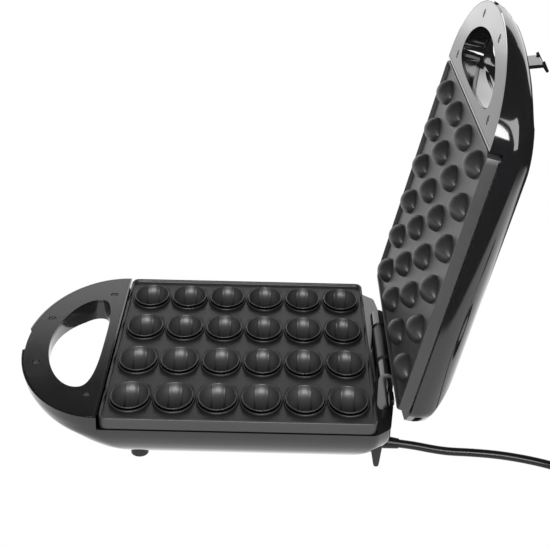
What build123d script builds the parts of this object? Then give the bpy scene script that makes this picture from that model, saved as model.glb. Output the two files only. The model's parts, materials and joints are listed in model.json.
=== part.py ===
from build123d import *
import os
from math import atan2, cos, degrees, pi, radians, sin, tan

# ---------------------------------------------------------------------------
# Driving dimensions, in millimetres and degrees.
# Working frame: +X runs from the handle to the hinge, +Y is the left side seen
# from the handle, Z is 0 on the table. The lid is modelled closed and then
# opened about the hinge.
# ---------------------------------------------------------------------------

# baking plates
COLUMNS = 6
ROWS = 4
COLUMN_PITCH = 32.0
ROW_PITCH = 59.3
COLUMN_MARGIN = 19.5
ROW_MARGIN = 35.0
PLATE_CORNER_RADIUS = 6.0
PLATE_THICKNESS = 3.0
PLATE_SKIRT_HEIGHT = 8.5
PLATE_SKIRT_WALL = 2.0
LOWER_LIP_HEIGHT = 2.4
UPPER_LIP_HEIGHT = 3.0

# cups of the lower plate
CUP_WIDTH = 26.8
CUP_LENGTH = 39.6
CUP_WALL = 1.2
CUP_RIM_PROUD = 1.1
CUP_FOOT_FLANGE = 1.0
CUP_FOOT_HEIGHT = 1.6
CUP_RIB_OFFSET = 4.6
CUP_RIB_WIDTH = 0.8
CUP_RIB_HEIGHT = 0.6

# domes of the upper plate
DOME_WIDTH = 19.6
DOME_LENGTH = 31.0
DOME_WALL = 2.4
DOME_VENT_WIDTH = 3.0
DOME_VENT_LENGTH = 6.0
SPINDLE_TIP = 0.4

# how the two halves meet and stand
PARTING_HEIGHT = 46.0
HINGE_BEHIND_PLATE = 10.3
LID_OPEN_ANGLE = 104.2

# shells
SHELL_WALL = 2.5
SHELL_RIM_DROP = 9.6
SHELL_BEHIND_HINGE = 5.2
HANDLE_FRONT_GAP = 1.2
HANDLE_REACH = 71.3
CORNER_CUT = 11.0
REAR_SLANT = 5.0
REAR_FLAT_SHARE = 0.57
DECK_THICKNESS = 2.5
DECK_PLATE_GAP = 0.4

# base levels: depth below the parting plane, then how far the outline has
# drawn in at the nose, at the handle's shoulder, at the sides and at the rear
BASE_LEVELS = [
    (0.0, 0.0, 0.0, 0.0, 0.0),
    (5.0, 1.2, 0.0, 0.0, 0.0),
    (9.6, 3.5, 2.0, 0.0, 0.0),
    (14.0, 8.5, 3.0, 0.5, 0.0),
    (20.0, 22.5, 7.0, 2.5, 0.5),
    (27.0, 33.0, 14.0, 7.0, 4.0),
    (32.0, 40.0, 19.0, 12.3, 8.5),
    (36.0, 51.0, 26.0, 18.0, 14.0),
    (39.5, 64.0, 32.0, 24.5, 20.5),
    (42.0, 87.0, 42.0, 33.0, 31.0),
]

# lid levels: height above the parting plane, then the same four insets
LID_LEVELS = [
    (0.0, 0.0, 0.0, 0.0, 0.0),
    (5.0, 1.5, 0.0, 0.0, 0.0),
    (9.6, 3.5, 0.0, 0.0, 0.0),
    (15.0, 7.5, 0.0, 0.4, 0.0),
    (20.0, 13.5, 2.0, 2.0, 0.5),
    (25.5, 22.5, 4.0, 5.5, 1.5),
    (30.0, 33.0, 8.0, 10.5, 8.5),
    (34.0, 46.0, 14.0, 18.0, 19.0),
    (37.0, 61.0, 22.0, 28.0, 30.0),
    (39.0, 79.0, 32.0, 40.0, 46.0),
    (40.0, 97.0, 45.0, 52.0, 72.0),
]

# finger opening of both handles
OPENING_BEHIND = 8.8
OPENING_REACH = 43.2
OPENING_HALF_LENGTH = 87.7
OPENING_CORNER_RADIUS = 14.2
OPENING_WALL_HEIGHT = 14.0
OPENING_FLARE_BACK = 26.0
OPENING_FLARE_FRONT = 7.0
OPENING_FLARE_SIDE = 7.0
OPENING_FLARE_HEIGHT = 26.0
OPENING_RUN_OUT = 6.0
OPENING_RELIEF = 21.6
OPENING_RELIEF_HEIGHT = 9.0
OPENING_RELIEF_BACK = 4.0
OPENING_THROAT_LAP = 1.0

# handle trims
TRIM_THICKNESS = 2.5
TRIM_EDGE_GAP = 0.3
TRIM_BACK_GAP = 0.05
RIM_BAND = 1.5
TRIM_SCREW_NOSE_INSET = 15.0
TRIM_SCREW_NOSE_HALF = 39.5
TRIM_SCREW_BACK_INSET = 11.2
TRIM_SCREW_BACK_HALF = 89.0
TRIM_RECESS_DIAMETER = 6.4
TRIM_RECESS_DEPTH = 1.3
TRIM_SCREW_HEAD_DIAMETER = 5.4
TRIM_SCREW_HEAD_HEIGHT = 1.0
TRIM_SCREW_CROSS = 4.0
TRIM_SCREW_SHANK_DIAMETER = 3.0
TRIM_SCREW_LENGTH = 8.0
TRIM_BOSS_DIAMETER = 8.0

# hinge
HINGE_RADIUS = 6.0
BARREL_HALF_LENGTH = 27.8
BARREL_CHAMFER = 1.6
BARREL_WIRE_RADIUS = 2.0
BARREL_FOOT_WIDTH = 4.4
BARREL_FOOT_END = 4.0
BARREL_BASE_END = 2.0
BARREL_BASE_HEIGHT = 2.0
BARREL_BASE_FRONT = 7.5
BARREL_BASE_BACK = 4.5
BARREL_BLIND_GAP = 0.3
BARREL_CHANNEL_RADIUS = 1.6
BARREL_CHANNEL_SHIFT = 0.2
BARREL_SCREW_DIAMETER = 4.0
BARREL_SCREW_HEIGHT = 1.2
BARREL_SCREW_FRONT = 5.0
BARREL_SCREW_HALF = 15.0
SLEEVE_GAP = 0.3
SLEEVE_END = 2.0
BUSH_WIDTH = 4.4
BUSH_RADIUS = 4.9
KNUCKLE_WIDTH = 24.0
HINGE_SIDE_GAP = 0.4
HINGE_PIN_RADIUS = 3.0
HINGE_PIN_CLEARANCE = 0.05
HINGE_PIN_BORE_RADIUS = 1.8
HINGE_PIN_IN_BARREL = 16.0
HINGE_PIN_IN_KNUCKLE = 22.0
STOP_RIB_DEPTH = 3.2
STOP_RIB_LENGTH = 3.5
STOP_RIB_WIDTH = 14.0
STOP_RIB_CENTRE = 68.0
STOP_CLEARANCE = 0.3
STOP_RIB_INSET = 0.2
DRAIN_HALF_SPACING = 90.0
DRAIN_WIDTH = 12.0
DRAIN_FROM_PLATE = 1.5
VENT_LENGTH = 10.0
VENT_WIDTH = 9.0
VENT_HEIGHT = 4.2
VENT_OVER_DECK = 6.5

# latch, from its pivot in the lid's nose
LATCH_WIDTH = 27.0
LATCH_SIDE_GAP = 1.2
LATCH_THICKNESS = 2.6
LATCH_PIVOT_FROM_NOSE = 15.6
LATCH_PIVOT_HEIGHT = 16.2
LATCH_HUB_RADIUS = 3.6
LATCH_PIN_RADIUS = 1.5
LATCH_PIN_GRIP = 3.2
LATCH_PIN_END_WALL = 1.0
LATCH_SWING = 174.3
LATCH_BRIDGE_HEIGHT = 9.0
LATCH_BRIDGE_FROM_NOSE = 4.0
LATCH_BRIDGE_LENGTH = 17.0
LATCH_ARM = [(0, 0), (-7.6, 0.2), (-17.4, -4.0), (-20.6, -13.0), (-17.4, -24.6)]
LATCH_BENDS = (5.0, 5.0, 7.0)
LATCH_LIP_IN = (-14.0, -23.6)
LATCH_LIP_OUT = (-20.6, -28.2)
LATCH_LIP_THICKNESS = 2.2
LATCH_SCOOP_RADIUS = 16.0
LATCH_SCOOP_AT = (-6.2, -20.0)
LATCH_SCOOP_TILT = -40.0
NOTCH_HALF_WIDTH = 18.5
NOTCH_DEPTH = 6.4
NOTCH_LENGTH = 2.1

# heating
ELEMENT_DIAMETER = 6.5
ELEMENT_BEND_RADIUS = 12.0
ELEMENT_SEAT_GAP = 0.3
ELEMENT_PIN_DIAMETER = 2.6
ELEMENT_PIN_LENGTH = 7.0
ELEMENT_END_GAP = 1.0
PAN_SHEET = 0.8
PAN_END_GAP = 0.5
PAN_SIDE_GAP = 5.0
PAN_CORNER_RADIUS = 4.0
LOWER_PAN_DEPTH = 20.5
UPPER_PAN_DEPTH = 17.0
PLATE_POST_DIAMETER = 8.0
PLATE_POST_HALF_X = 64.0
PLATE_POST_WALL_INSET = 12.5
PLATE_SCREW_DIAMETER = 3.5
PLATE_SCREW_HEAD_DIAMETER = 7.0
PLATE_SCREW_HEAD_HEIGHT = 2.2
CASE_POST_DIAMETER = 10.0
CASE_POST_HALF_X = 62.0
CASE_POST_HALF_Y = 62.0
CASE_SCREW_DIAMETER = 3.5
CASE_SCREW_HEAD_DIAMETER = 7.0
CASE_SCREW_HEAD_HEIGHT = 2.4
CASE_SCREW_BORE = 9.0
CASE_SCREW_BITE = 2.0
CASE_SCREW_SINK = 0.2
SCREW_HEAD_GAP = 0.3
SCREW_HOLE_GAP = 0.2
SCREW_SLOT_WIDTH = 1.0
SCREW_SLOT_DEPTH = 0.8
PLATE_SCREW_LENGTH = 9.0

# electrics
THERMOSTAT_DIAMETER = 16.0
THERMOSTAT_HEIGHT = 5.2
FUSE_DIAMETER = 5.0
FUSE_LENGTH = 26.0
FUSE_X = 30.0
FUSE_LIFT = 0.1
THERMOSTAT_EAR = 4.0
THERMOSTAT_EAR_WIDTH = 5.0
THERMOSTAT_EAR_HEIGHT = 2.0
TERMINAL_LENGTH = 26.0
TERMINAL_WIDTH = 17.0
TERMINAL_HEIGHT = 9.0
TERMINAL_X = 40.0
TERMINAL_Y = -40.0
TERMINAL_POLE_PITCH = 8.0
TERMINAL_WELL_DIAMETER = 4.4
TERMINAL_WELL_DEPTH = 3.0
WIRE_HALF_SPACING = 4.0
WIRE_HOLE_INSET = 22.0
WIRE_HOLE_LENGTH = 12.0
WIRE_HOLE_WIDTH = 22.0
WIRE_END_GAP = 1.5
WIRE_DIAMETER = 2.4
WIRE_BEND_RADIUS = 7.0
LID_WIRE_INSET = 14.0
LID_WIRE_STEP = 20.0
LID_WIRE_HALF = 3.0
LAMP_DIAMETER = 6.0
LENS_DIAMETER = 9.0
LENS_FLANGE_DIAMETER = 11.5
LENS_PROUD = 1.2
LENS_FIT = 0.15
LENS_HALF_SPACING = 12.0
LENS_FROM_NOSE = 98.0
LENS_DEPTH = 7.0
LENS_FLANGE_HEIGHT = 2.0
LENS_CHAMFER = 0.8
LAMP_LENS_GAP = 0.3
LAMP_BODY_HEIGHT = 5.0
LAMP_FOOT_HALF = 4.0

# feet
FRONT_FOOT_DIAMETER = 13.0
FRONT_FOOT_FROM_CENTRE = 73.0
FRONT_FOOT_HALF = 93.5
FRONT_FOOT_RECESS = 3.0
FRONT_FOOT_CHAMFER = 1.2
FOOT_SPIGOT_DIAMETER = 6.0
FOOT_SPIGOT_DEPTH = 5.5
FOOT_PAD_DEPTH = 8.0
FOOT_FIT = 0.1
REAR_LEG_X = 102.0
REAR_LEG_HALF = 101.0
REAR_LEG_TOP_LENGTH = 13.0
REAR_LEG_FOOT_LENGTH = 6.4
REAR_LEG_TOP_WIDTH = 12.0
REAR_LEG_FOOT_WIDTH = 8.0
REAR_LEG_PLUG_DEPTH = 6.0
REAR_LEG_HEIGHT = 16.0
REAR_LEG_KNEE_DROP = 8.0
REAR_LEG_TOE_BACK = 2.0
REAR_LEG_SOCKET_WALL = 1.6
REAR_LEG_FIT = 0.05

# mains cord
CORD_DIAMETER = 6.2
CORD_EXIT_Y = -87.5
CORD_EXIT_HEIGHT = 11.6
CORD_EXIT_ANGLE = -6.0
CORD_LIFT = 0.1
CORD_FIRST_RUN = 10.0
CORD_LAST_RUN = 24.0
RELIEF_OUTSIDE_LENGTH = 18.0
RELIEF_BIG_DIAMETER = 11.0
RELIEF_SMALL_DIAMETER = 7.6
RELIEF_GROOVE_DEPTH = 1.2
RELIEF_BOSS_LENGTH = 8.0
RELIEF_BOSS_WALL = 1.5
RELIEF_FLANGE = 2.4
RELIEF_FIT = 0.05
INNER_CORD_LENGTH = 22.0
CLAMP_LENGTH = 12.0
CLAMP_WIDTH = 22.0
CLAMP_HEIGHT = 4.0
CLAMP_INSIDE = 22.0
CLAMP_FIT = 0.1
COIL_TURNS = 4
COIL_MID_RADIUS = 31.5
COIL_GAP = 0.7
COIL_CENTRE_X = 306.0
COIL_CENTRE_Y = -96.0
PLUG_BODY_LENGTH = 36.0
PLUG_BODY_DIAMETER = 30.0
PLUG_NECK_DIAMETER = 10.0
PLUG_NECK_LENGTH = 18.0
PLUG_NECK_FLARE = 1.5
PLUG_SHOULDER_LENGTH = 12.0
PLUG_EDGE = 2.0
PLUG_PIN_DIAMETER = 4.8
PLUG_PIN_CHAMFER = 1.0
PLUG_PIN_LENGTH = 19.0
PLUG_PIN_SPACING = 19.0

# ---------------------------------------------------------------------------
# Sizes that follow from the driving dimensions.
# ---------------------------------------------------------------------------
PLATE_DEPTH = (COLUMNS - 1) * COLUMN_PITCH + 2 * COLUMN_MARGIN
PLATE_WIDTH = (ROWS - 1) * ROW_PITCH + 2 * ROW_MARGIN
PLATE_FRONT = -PLATE_DEPTH / 2
PLATE_REAR = PLATE_DEPTH / 2
HINGE_X = PLATE_REAR + HINGE_BEHIND_PLATE
SHELL_REAR = HINGE_X + SHELL_BEHIND_HINGE
SHELL_HALF = PLATE_WIDTH / 2
HANDLE_BACK = PLATE_FRONT - HANDLE_FRONT_GAP
NOSE = HANDLE_BACK - HANDLE_REACH
OPENING_STRAIGHT = HANDLE_BACK - OPENING_BEHIND
BASE_DEPTH = BASE_LEVELS[-1][0]
LID_DEPTH = LID_LEVELS[-1][0]
FOOT_HEIGHT = PARTING_HEIGHT - BASE_DEPTH
CUP_CENTRES = [
    ((column - (COLUMNS - 1) / 2) * COLUMN_PITCH, (row - (ROWS - 1) / 2) * ROW_PITCH)
    for row in range(ROWS)
    for column in range(COLUMNS)
]
TRIM_SCREWS = [
    (NOSE + TRIM_SCREW_NOSE_INSET, TRIM_SCREW_NOSE_HALF),
    (NOSE + TRIM_SCREW_NOSE_INSET, -TRIM_SCREW_NOSE_HALF),
    (HANDLE_BACK - TRIM_SCREW_BACK_INSET, TRIM_SCREW_BACK_HALF),
    (HANDLE_BACK - TRIM_SCREW_BACK_INSET, -TRIM_SCREW_BACK_HALF),
]
PLATE_POST_HALF_Y = PLATE_WIDTH / 2 - PLATE_SKIRT_WALL - PLATE_POST_WALL_INSET
PLATE_POSTS = [(x, y) for x in (-PLATE_POST_HALF_X, PLATE_POST_HALF_X)
               for y in (-PLATE_POST_HALF_Y, PLATE_POST_HALF_Y)]
CASE_POSTS = [(x, y) for x in (-CASE_POST_HALF_X, CASE_POST_HALF_X)
              for y in (-CASE_POST_HALF_Y, CASE_POST_HALF_Y)]
BUSH_START = BARREL_HALF_LENGTH + HINGE_SIDE_GAP
KNUCKLE_START = BUSH_START + BUSH_WIDTH + HINGE_SIDE_GAP
KNUCKLE_END = KNUCKLE_START + KNUCKLE_WIDTH
LATCH_PIVOT_X = NOSE + LATCH_PIVOT_FROM_NOSE
SLOT_HALF = LATCH_WIDTH / 2 + LATCH_SIDE_GAP

HINGE_AXIS = Axis((HINGE_X, 0, PARTING_HEIGHT), (0, 1, 0))
LATCH_AXIS = Axis((LATCH_PIVOT_X, 0, PARTING_HEIGHT + LATCH_PIVOT_HEIGHT), (0, 1, 0))


# ---------------------------------------------------------------------------
# Shared shapes.
# ---------------------------------------------------------------------------
def box_between(low, high):
    """A block from its lowest to its highest corner."""
    size = [b - a for a, b in zip(low, high)]
    return Pos(*low) * Box(*size, align=(Align.MIN, Align.MIN, Align.MIN))


def post(x, y, radius, low, high):
    """An upright cylinder."""
    return Pos(x, y, low) * Cylinder(radius, high - low, align=(Align.CENTER, Align.CENTER, Align.MIN))


def along_y(x, z, radius, low, high):
    """A cylinder whose axis runs along Y."""
    return Pos(x, (low + high) / 2, z) * Rot(90, 0, 0) * Cylinder(radius, high - low)


def case_outline(nose_in, shoulder_in, side_in, rear_in, wall=0.0):
    """Plan of a shell: half an ellipse over the handle, straight sides, cut rear corners."""
    shoulder = HANDLE_BACK + shoulder_in
    half = SHELL_HALF - side_in - wall
    nose = NOSE + nose_in + wall
    rear = SHELL_REAR - rear_in - wall
    with BuildLine() as line:
        left = EllipticalCenterArc((shoulder, 0), shoulder - nose, half, start_angle=90, arc_size=90)
        right = EllipticalCenterArc((shoulder, 0), shoulder - nose, half, start_angle=180, arc_size=90)
        Polyline(
            right @ 1,
            (rear - REAR_SLANT - CORNER_CUT, -half),
            (rear - REAR_SLANT, CORNER_CUT - half),
            (rear, -REAR_FLAT_SHARE * half),
            (rear, REAR_FLAT_SHARE * half),
            (rear - REAR_SLANT, half - CORNER_CUT),
            (rear - REAR_SLANT - CORNER_CUT, half),
            left @ 0,
        )
    return make_face(line.wire())


def case_form(levels, side, wall=0.0):
    """The body of a shell, stacked from its levels; side is -1 for the base and 1 for the lid."""
    faces = []
    deepest = levels[-1][0]
    for level, *insets in levels:
        height = level * (deepest - wall) / deepest
        faces.append(Pos(0, 0, PARTING_HEIGHT + side * height) * case_outline(*insets, wall=wall))
    return loft(faces, ruled=True)


def opening_face(back=0.0, front=0.0, ends=0.0):
    """Plan of the finger opening, grown by what each side is given."""
    straight = OPENING_STRAIGHT + back
    reach = OPENING_REACH + back + front
    half = OPENING_HALF_LENGTH + ends
    oval = Pos(straight, 0) * Ellipse(reach, half)
    field = Pos(straight, 0) * Rectangle(2 * reach, 3 * half, align=(Align.MAX, Align.CENTER))
    plan = oval & field
    corners = plan.vertices().filter_by_position(Axis.X, straight - 0.1, straight + 0.1)
    return fillet(corners, OPENING_CORNER_RADIUS).face()


def opening_tools(side, wall=0.0):
    """The finger opening through one handle: straight walls, a flare to the plates, a wide one round the rest."""
    plan = opening_face(wall, wall, wall)
    throat_depth = OPENING_WALL_HEIGHT + OPENING_THROAT_LAP + 5
    throat = extrude(Pos(0, 0, PARTING_HEIGHT - side * 5) * plan, side * throat_depth)
    lower = Pos(0, 0, PARTING_HEIGHT + side * (OPENING_WALL_HEIGHT - wall)) * plan
    spread = opening_face(OPENING_FLARE_BACK + wall, OPENING_FLARE_FRONT + wall, OPENING_FLARE_SIDE + wall)
    upper = Pos(0, 0, PARTING_HEIGHT + side * (OPENING_WALL_HEIGHT + OPENING_FLARE_HEIGHT - wall)) * spread
    flare = loft([lower, upper], ruled=True) + extrude(upper, side * OPENING_RUN_OUT)
    relieved = opening_face(OPENING_RELIEF_BACK + wall, OPENING_RELIEF + wall, OPENING_RELIEF + wall)
    ledge = Pos(0, 0, PARTING_HEIGHT + side * (OPENING_WALL_HEIGHT + OPENING_RELIEF_HEIGHT - wall)) * relieved
    run = OPENING_FLARE_HEIGHT - OPENING_RELIEF_HEIGHT + OPENING_RUN_OUT
    relief = loft([lower, ledge], ruled=True) + extrude(ledge, side * run)
    return [relief, flare, throat]


def carve(shape, tools):
    """What is left of a shape once each tool in turn is cut from it."""
    for tool in tools:
        shape -= tool
    return shape


def plate_block(skirt_side):
    """The outer block of a baking plate, from the parting plane to its skirt's edge."""
    plan = RectangleRounded(PLATE_DEPTH, PLATE_WIDTH, PLATE_CORNER_RADIUS)
    return extrude(Pos(0, 0, PARTING_HEIGHT) * plan, skirt_side * PLATE_SKIRT_HEIGHT)


def plate_pocket(inset, low, high):
    """A rounded pocket inside the plate's outline."""
    corner = max(PLATE_CORNER_RADIUS - inset, 1.0)
    plan = RectangleRounded(PLATE_DEPTH - 2 * inset, PLATE_WIDTH - 2 * inset, corner)
    return extrude(Pos(0, 0, low) * plan, high - low)


def spheroid(half_width, half_length):
    """An egg shape with round sections across its length, which lies along Y."""
    with BuildLine() as line:
        arc = EllipticalCenterArc((0, 0), half_width, half_length, start_angle=-90, arc_size=180)
        Line(arc @ 1, arc @ 0)
    return revolve(make_face(line.wire()), Axis.Y)


def spindle(half_width, half_length):
    """A pointed egg shape, a circular arc turned about its chord, which lies along Y."""
    with BuildLine() as line:
        arc = ThreePointArc((SPINDLE_TIP, -half_length), (half_width, 0), (SPINDLE_TIP, half_length))
        Polyline(arc @ 1, (0, half_length), (0, -half_length), arc @ 0)
    return revolve(make_face(line.wire()), Axis.Y)


def copies(shape, places, height):
    """One copy of a shape at each place in plan."""
    return [Pos(x, y, height) * shape for x, y in places]


def open_lid(shape):
    """Swings a piece of the closed lid to where it stands open."""
    return shape.rotate(HINGE_AXIS, LID_OPEN_ANGLE)


# ---------------------------------------------------------------------------
# Baking plates.
# ---------------------------------------------------------------------------
def cup():
    """One cup with its rim at height 0: a collar with a foot bead, a bowl and two lengthwise ribs."""
    top = PARTING_HEIGHT + CUP_RIM_PROUD
    floor = PARTING_HEIGHT - LOWER_LIP_HEIGHT
    under = floor - PLATE_THICKNESS
    wide = CUP_WIDTH / 2 + CUP_WALL
    long = CUP_LENGTH / 2 + CUP_WALL
    bowl = spheroid(wide, long)
    bowl -= box_between((-CUP_WIDTH, -CUP_LENGTH, 0), (CUP_WIDTH, CUP_LENGTH, CUP_WIDTH))
    bowl += extrude(Pos(0, 0, under - top) * Ellipse(wide, long), top - under)
    foot_plan = Ellipse(wide + CUP_FOOT_FLANGE, long + CUP_FOOT_FLANGE)
    bowl += extrude(Pos(0, 0, under - top) * foot_plan, floor + CUP_FOOT_HEIGHT - under)
    bowl -= spheroid(CUP_WIDTH / 2, CUP_LENGTH / 2)
    rooted = spheroid((CUP_WIDTH + CUP_WALL) / 2, (CUP_LENGTH + CUP_WALL) / 2)
    rooted -= spheroid(CUP_WIDTH / 2 - CUP_RIB_HEIGHT, CUP_LENGTH / 2 - CUP_RIB_HEIGHT)
    for x in (-CUP_RIB_OFFSET, CUP_RIB_OFFSET):
        low = (x - CUP_RIB_WIDTH / 2, -CUP_LENGTH, -CUP_WIDTH)
        high = (x + CUP_RIB_WIDTH / 2, CUP_LENGTH, -CUP_RIB_HEIGHT)
        bowl += rooted & box_between(low, high)
    return bowl


def lower_baking_plate():
    floor = PARTING_HEIGHT - LOWER_LIP_HEIGHT
    under = floor - PLATE_THICKNESS
    skirt = PARTING_HEIGHT - PLATE_SKIRT_HEIGHT
    plate = plate_block(-1)
    plate -= plate_pocket(PLATE_SKIRT_WALL, floor, PARTING_HEIGHT + 5)
    plate -= plate_pocket(PLATE_SKIRT_WALL, skirt - 5, under)
    hole = extrude(Ellipse(CUP_WIDTH / 2 + CUP_WALL / 2, CUP_LENGTH / 2 + CUP_WALL / 2), PLATE_THICKNESS + 2)
    plate -= copies(hole, CUP_CENTRES, under - 1)
    plate += copies(cup(), CUP_CENTRES, PARTING_HEIGHT + CUP_RIM_PROUD)
    pan_floor = PARTING_HEIGHT - LOWER_PAN_DEPTH + PAN_SHEET
    for x, y in PLATE_POSTS:
        plate += post(x, y, PLATE_POST_DIAMETER / 2, pan_floor, floor - PLATE_THICKNESS / 2)
    for x, y in PLATE_POSTS:
        plate -= post(x, y, PLATE_SCREW_DIAMETER / 2, pan_floor - 1, under)
    return plate


def upper_baking_plate():
    floor = PARTING_HEIGHT + UPPER_LIP_HEIGHT
    back = floor + PLATE_THICKNESS
    skirt = PARTING_HEIGHT + PLATE_SKIRT_HEIGHT
    plate = plate_block(1)
    plate -= plate_pocket(PLATE_SKIRT_WALL, PARTING_HEIGHT - 5, floor)
    plate -= plate_pocket(PLATE_SKIRT_WALL, back, skirt + 5)
    dome = spindle(DOME_WIDTH / 2, DOME_LENGTH / 2)
    dome -= box_between((-DOME_WIDTH, -DOME_LENGTH, 1), (DOME_WIDTH, DOME_LENGTH, DOME_WIDTH))
    plate += copies(dome, CUP_CENTRES, floor)
    hollow = spindle(DOME_WIDTH / 2 - DOME_WALL, DOME_LENGTH / 2 - DOME_WALL)
    hollow += Box(DOME_VENT_WIDTH, DOME_VENT_LENGTH, 2 * (PLATE_THICKNESS + 1))
    plate -= copies(hollow, CUP_CENTRES, floor)
    pan_floor = PARTING_HEIGHT + UPPER_PAN_DEPTH - PAN_SHEET
    for x, y in PLATE_POSTS:
        plate += post(x, y, PLATE_POST_DIAMETER / 2, floor + PLATE_THICKNESS / 2, pan_floor)
    for x, y in PLATE_POSTS:
        plate -= post(x, y, PLATE_SCREW_DIAMETER / 2, back, pan_floor + 1)
    return plate


def reflector_pan(side):
    """Sheet tray behind a plate, with its rim just short of the plate's back."""
    lip = LOWER_LIP_HEIGHT if side < 0 else UPPER_LIP_HEIGHT
    depth = LOWER_PAN_DEPTH if side < 0 else UPPER_PAN_DEPTH
    rim = PARTING_HEIGHT + side * (lip + PLATE_THICKNESS + ELEMENT_SEAT_GAP)
    floor = PARTING_HEIGHT + side * depth
    half_x = PLATE_DEPTH / 2 - PLATE_SKIRT_WALL - PAN_END_GAP
    half_y = PLATE_WIDTH / 2 - PLATE_SKIRT_WALL - PAN_SIDE_GAP
    low, high = sorted((rim, floor))
    outer = RectangleRounded(2 * half_x, 2 * half_y, PAN_CORNER_RADIUS)
    inner_x, inner_y = half_x - PAN_SHEET, half_y - PAN_SHEET
    inner = RectangleRounded(2 * inner_x, 2 * inner_y, PAN_CORNER_RADIUS - PAN_SHEET)
    inner_low = low + (PAN_SHEET if side < 0 else -1)
    inner_high = high + (1 if side < 0 else -PAN_SHEET)
    pan = extrude(Pos(0, 0, low) * outer, high - low)
    pan -= extrude(Pos(0, 0, inner_low) * inner, inner_high - inner_low)
    for x, y in PLATE_POSTS:
        pan -= post(x, y, PLATE_SCREW_DIAMETER / 2 + SCREW_HOLE_GAP, floor - 2, floor + 2)
    for x, y in CASE_POSTS:
        pan -= post(x, y, CASE_SCREW_DIAMETER / 2 + SCREW_HOLE_GAP, floor - 2, floor + 2)
    wire_hole = Pos(PLATE_REAR - WIRE_HOLE_INSET, 0, floor) * Box(WIRE_HOLE_LENGTH, WIRE_HOLE_WIDTH, 6)
    return pan - wire_hole


def plate_screws(side):
    """Screws that hold a plate's posts to its pan."""
    depth = LOWER_PAN_DEPTH if side < 0 else UPPER_PAN_DEPTH
    floor = PARTING_HEIGHT + side * depth
    shank_end = floor - side * PLATE_SCREW_LENGTH
    head_end = floor + side * PLATE_SCREW_HEAD_HEIGHT
    screws = []
    for x, y in PLATE_POSTS:
        shank = post(x, y, PLATE_SCREW_DIAMETER / 2, min(floor, shank_end), max(floor, shank_end))
        head = post(x, y, PLATE_SCREW_HEAD_DIAMETER / 2, min(floor, head_end), max(floor, head_end))
        screws.append(shank + head)
    return Compound(screws)


def heating_element(side):
    """A hairpin tube that lies against a plate's back, with a connector pin at each end."""
    lip = LOWER_LIP_HEIGHT if side < 0 else UPPER_LIP_HEIGHT
    seat = PARTING_HEIGHT + side * (lip + PLATE_THICKNESS + ELEMENT_SEAT_GAP)
    height = seat + side * ELEMENT_DIAMETER / 2
    turn = -(COLUMNS / 2 - 1) * COLUMN_PITCH
    end = PLATE_REAR - PLATE_SKIRT_WALL - PAN_END_GAP - PAN_SHEET - ELEMENT_PIN_LENGTH - ELEMENT_END_GAP
    leg = ROW_PITCH
    points = [(end, -leg, height), (turn, -leg, height), (turn, leg, height), (end, leg, height)]
    path = FilletPolyline(*points, radius=ELEMENT_BEND_RADIUS)
    tube = sweep(Plane(origin=path @ 0, z_dir=path % 0) * Circle(ELEMENT_DIAMETER / 2), path)
    for y in (-leg, leg):
        pin = Pos(end + ELEMENT_PIN_LENGTH / 2, y, height) * Rot(0, 90, 0)
        tube += pin * Cylinder(ELEMENT_PIN_DIAMETER / 2, ELEMENT_PIN_LENGTH + 2)
    return tube


# ---------------------------------------------------------------------------
# Base.
# ---------------------------------------------------------------------------
def trim_seat(side):
    """The recess in a handle's rim that the trim drops into."""
    low, high = sorted((PARTING_HEIGHT - side, PARTING_HEIGHT + side * TRIM_THICKNESS))
    plan = case_outline(0, 0, 0, 0, wall=RIM_BAND)
    field = box_between((NOSE, -SHELL_HALF, low), (HANDLE_BACK - RIM_BAND, SHELL_HALF, high))
    return extrude(Pos(0, 0, low) * plan, high - low) & field


def rim_notch(side):
    """The cut in a handle's rim at the nose, where the latch passes."""
    low, high = sorted((PARTING_HEIGHT - side, PARTING_HEIGHT + side * NOTCH_DEPTH))
    return box_between((NOSE - 5, -NOTCH_HALF_WIDTH, low), (NOSE + NOTCH_LENGTH, NOTCH_HALF_WIDTH, high))


def shell_body(levels, side):
    """A shell with its handle ring, plate well and rear deck, before its own details."""
    outer = case_form(levels, side)
    inner = case_form(levels, side, SHELL_WALL)
    drop = PARTING_HEIGHT + side * SHELL_RIM_DROP
    past = PARTING_HEIGHT - side * 5
    body_cut = box_between(
        (HANDLE_BACK, -SHELL_HALF - 5, min(drop, past)),
        (SHELL_REAR + 5, SHELL_HALF + 5, max(drop, past)),
    )
    hollow = inner - box_between(
        (HANDLE_BACK - SHELL_WALL, -SHELL_HALF, PARTING_HEIGHT - 50),
        (HANDLE_BACK, SHELL_HALF, PARTING_HEIGHT + 50),
    )
    deck = drop + side * DECK_THICKNESS
    deck_zone = box_between(
        (PLATE_REAR + DECK_PLATE_GAP, -SHELL_HALF, min(drop, deck)),
        (SHELL_REAR, SHELL_HALF, max(drop, deck)),
    )
    hollow -= deck_zone
    hollow = carve(hollow, opening_tools(side, SHELL_WALL))
    body = carve(outer - body_cut - hollow, opening_tools(side))
    return body - trim_seat(side) - rim_notch(side)


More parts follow.
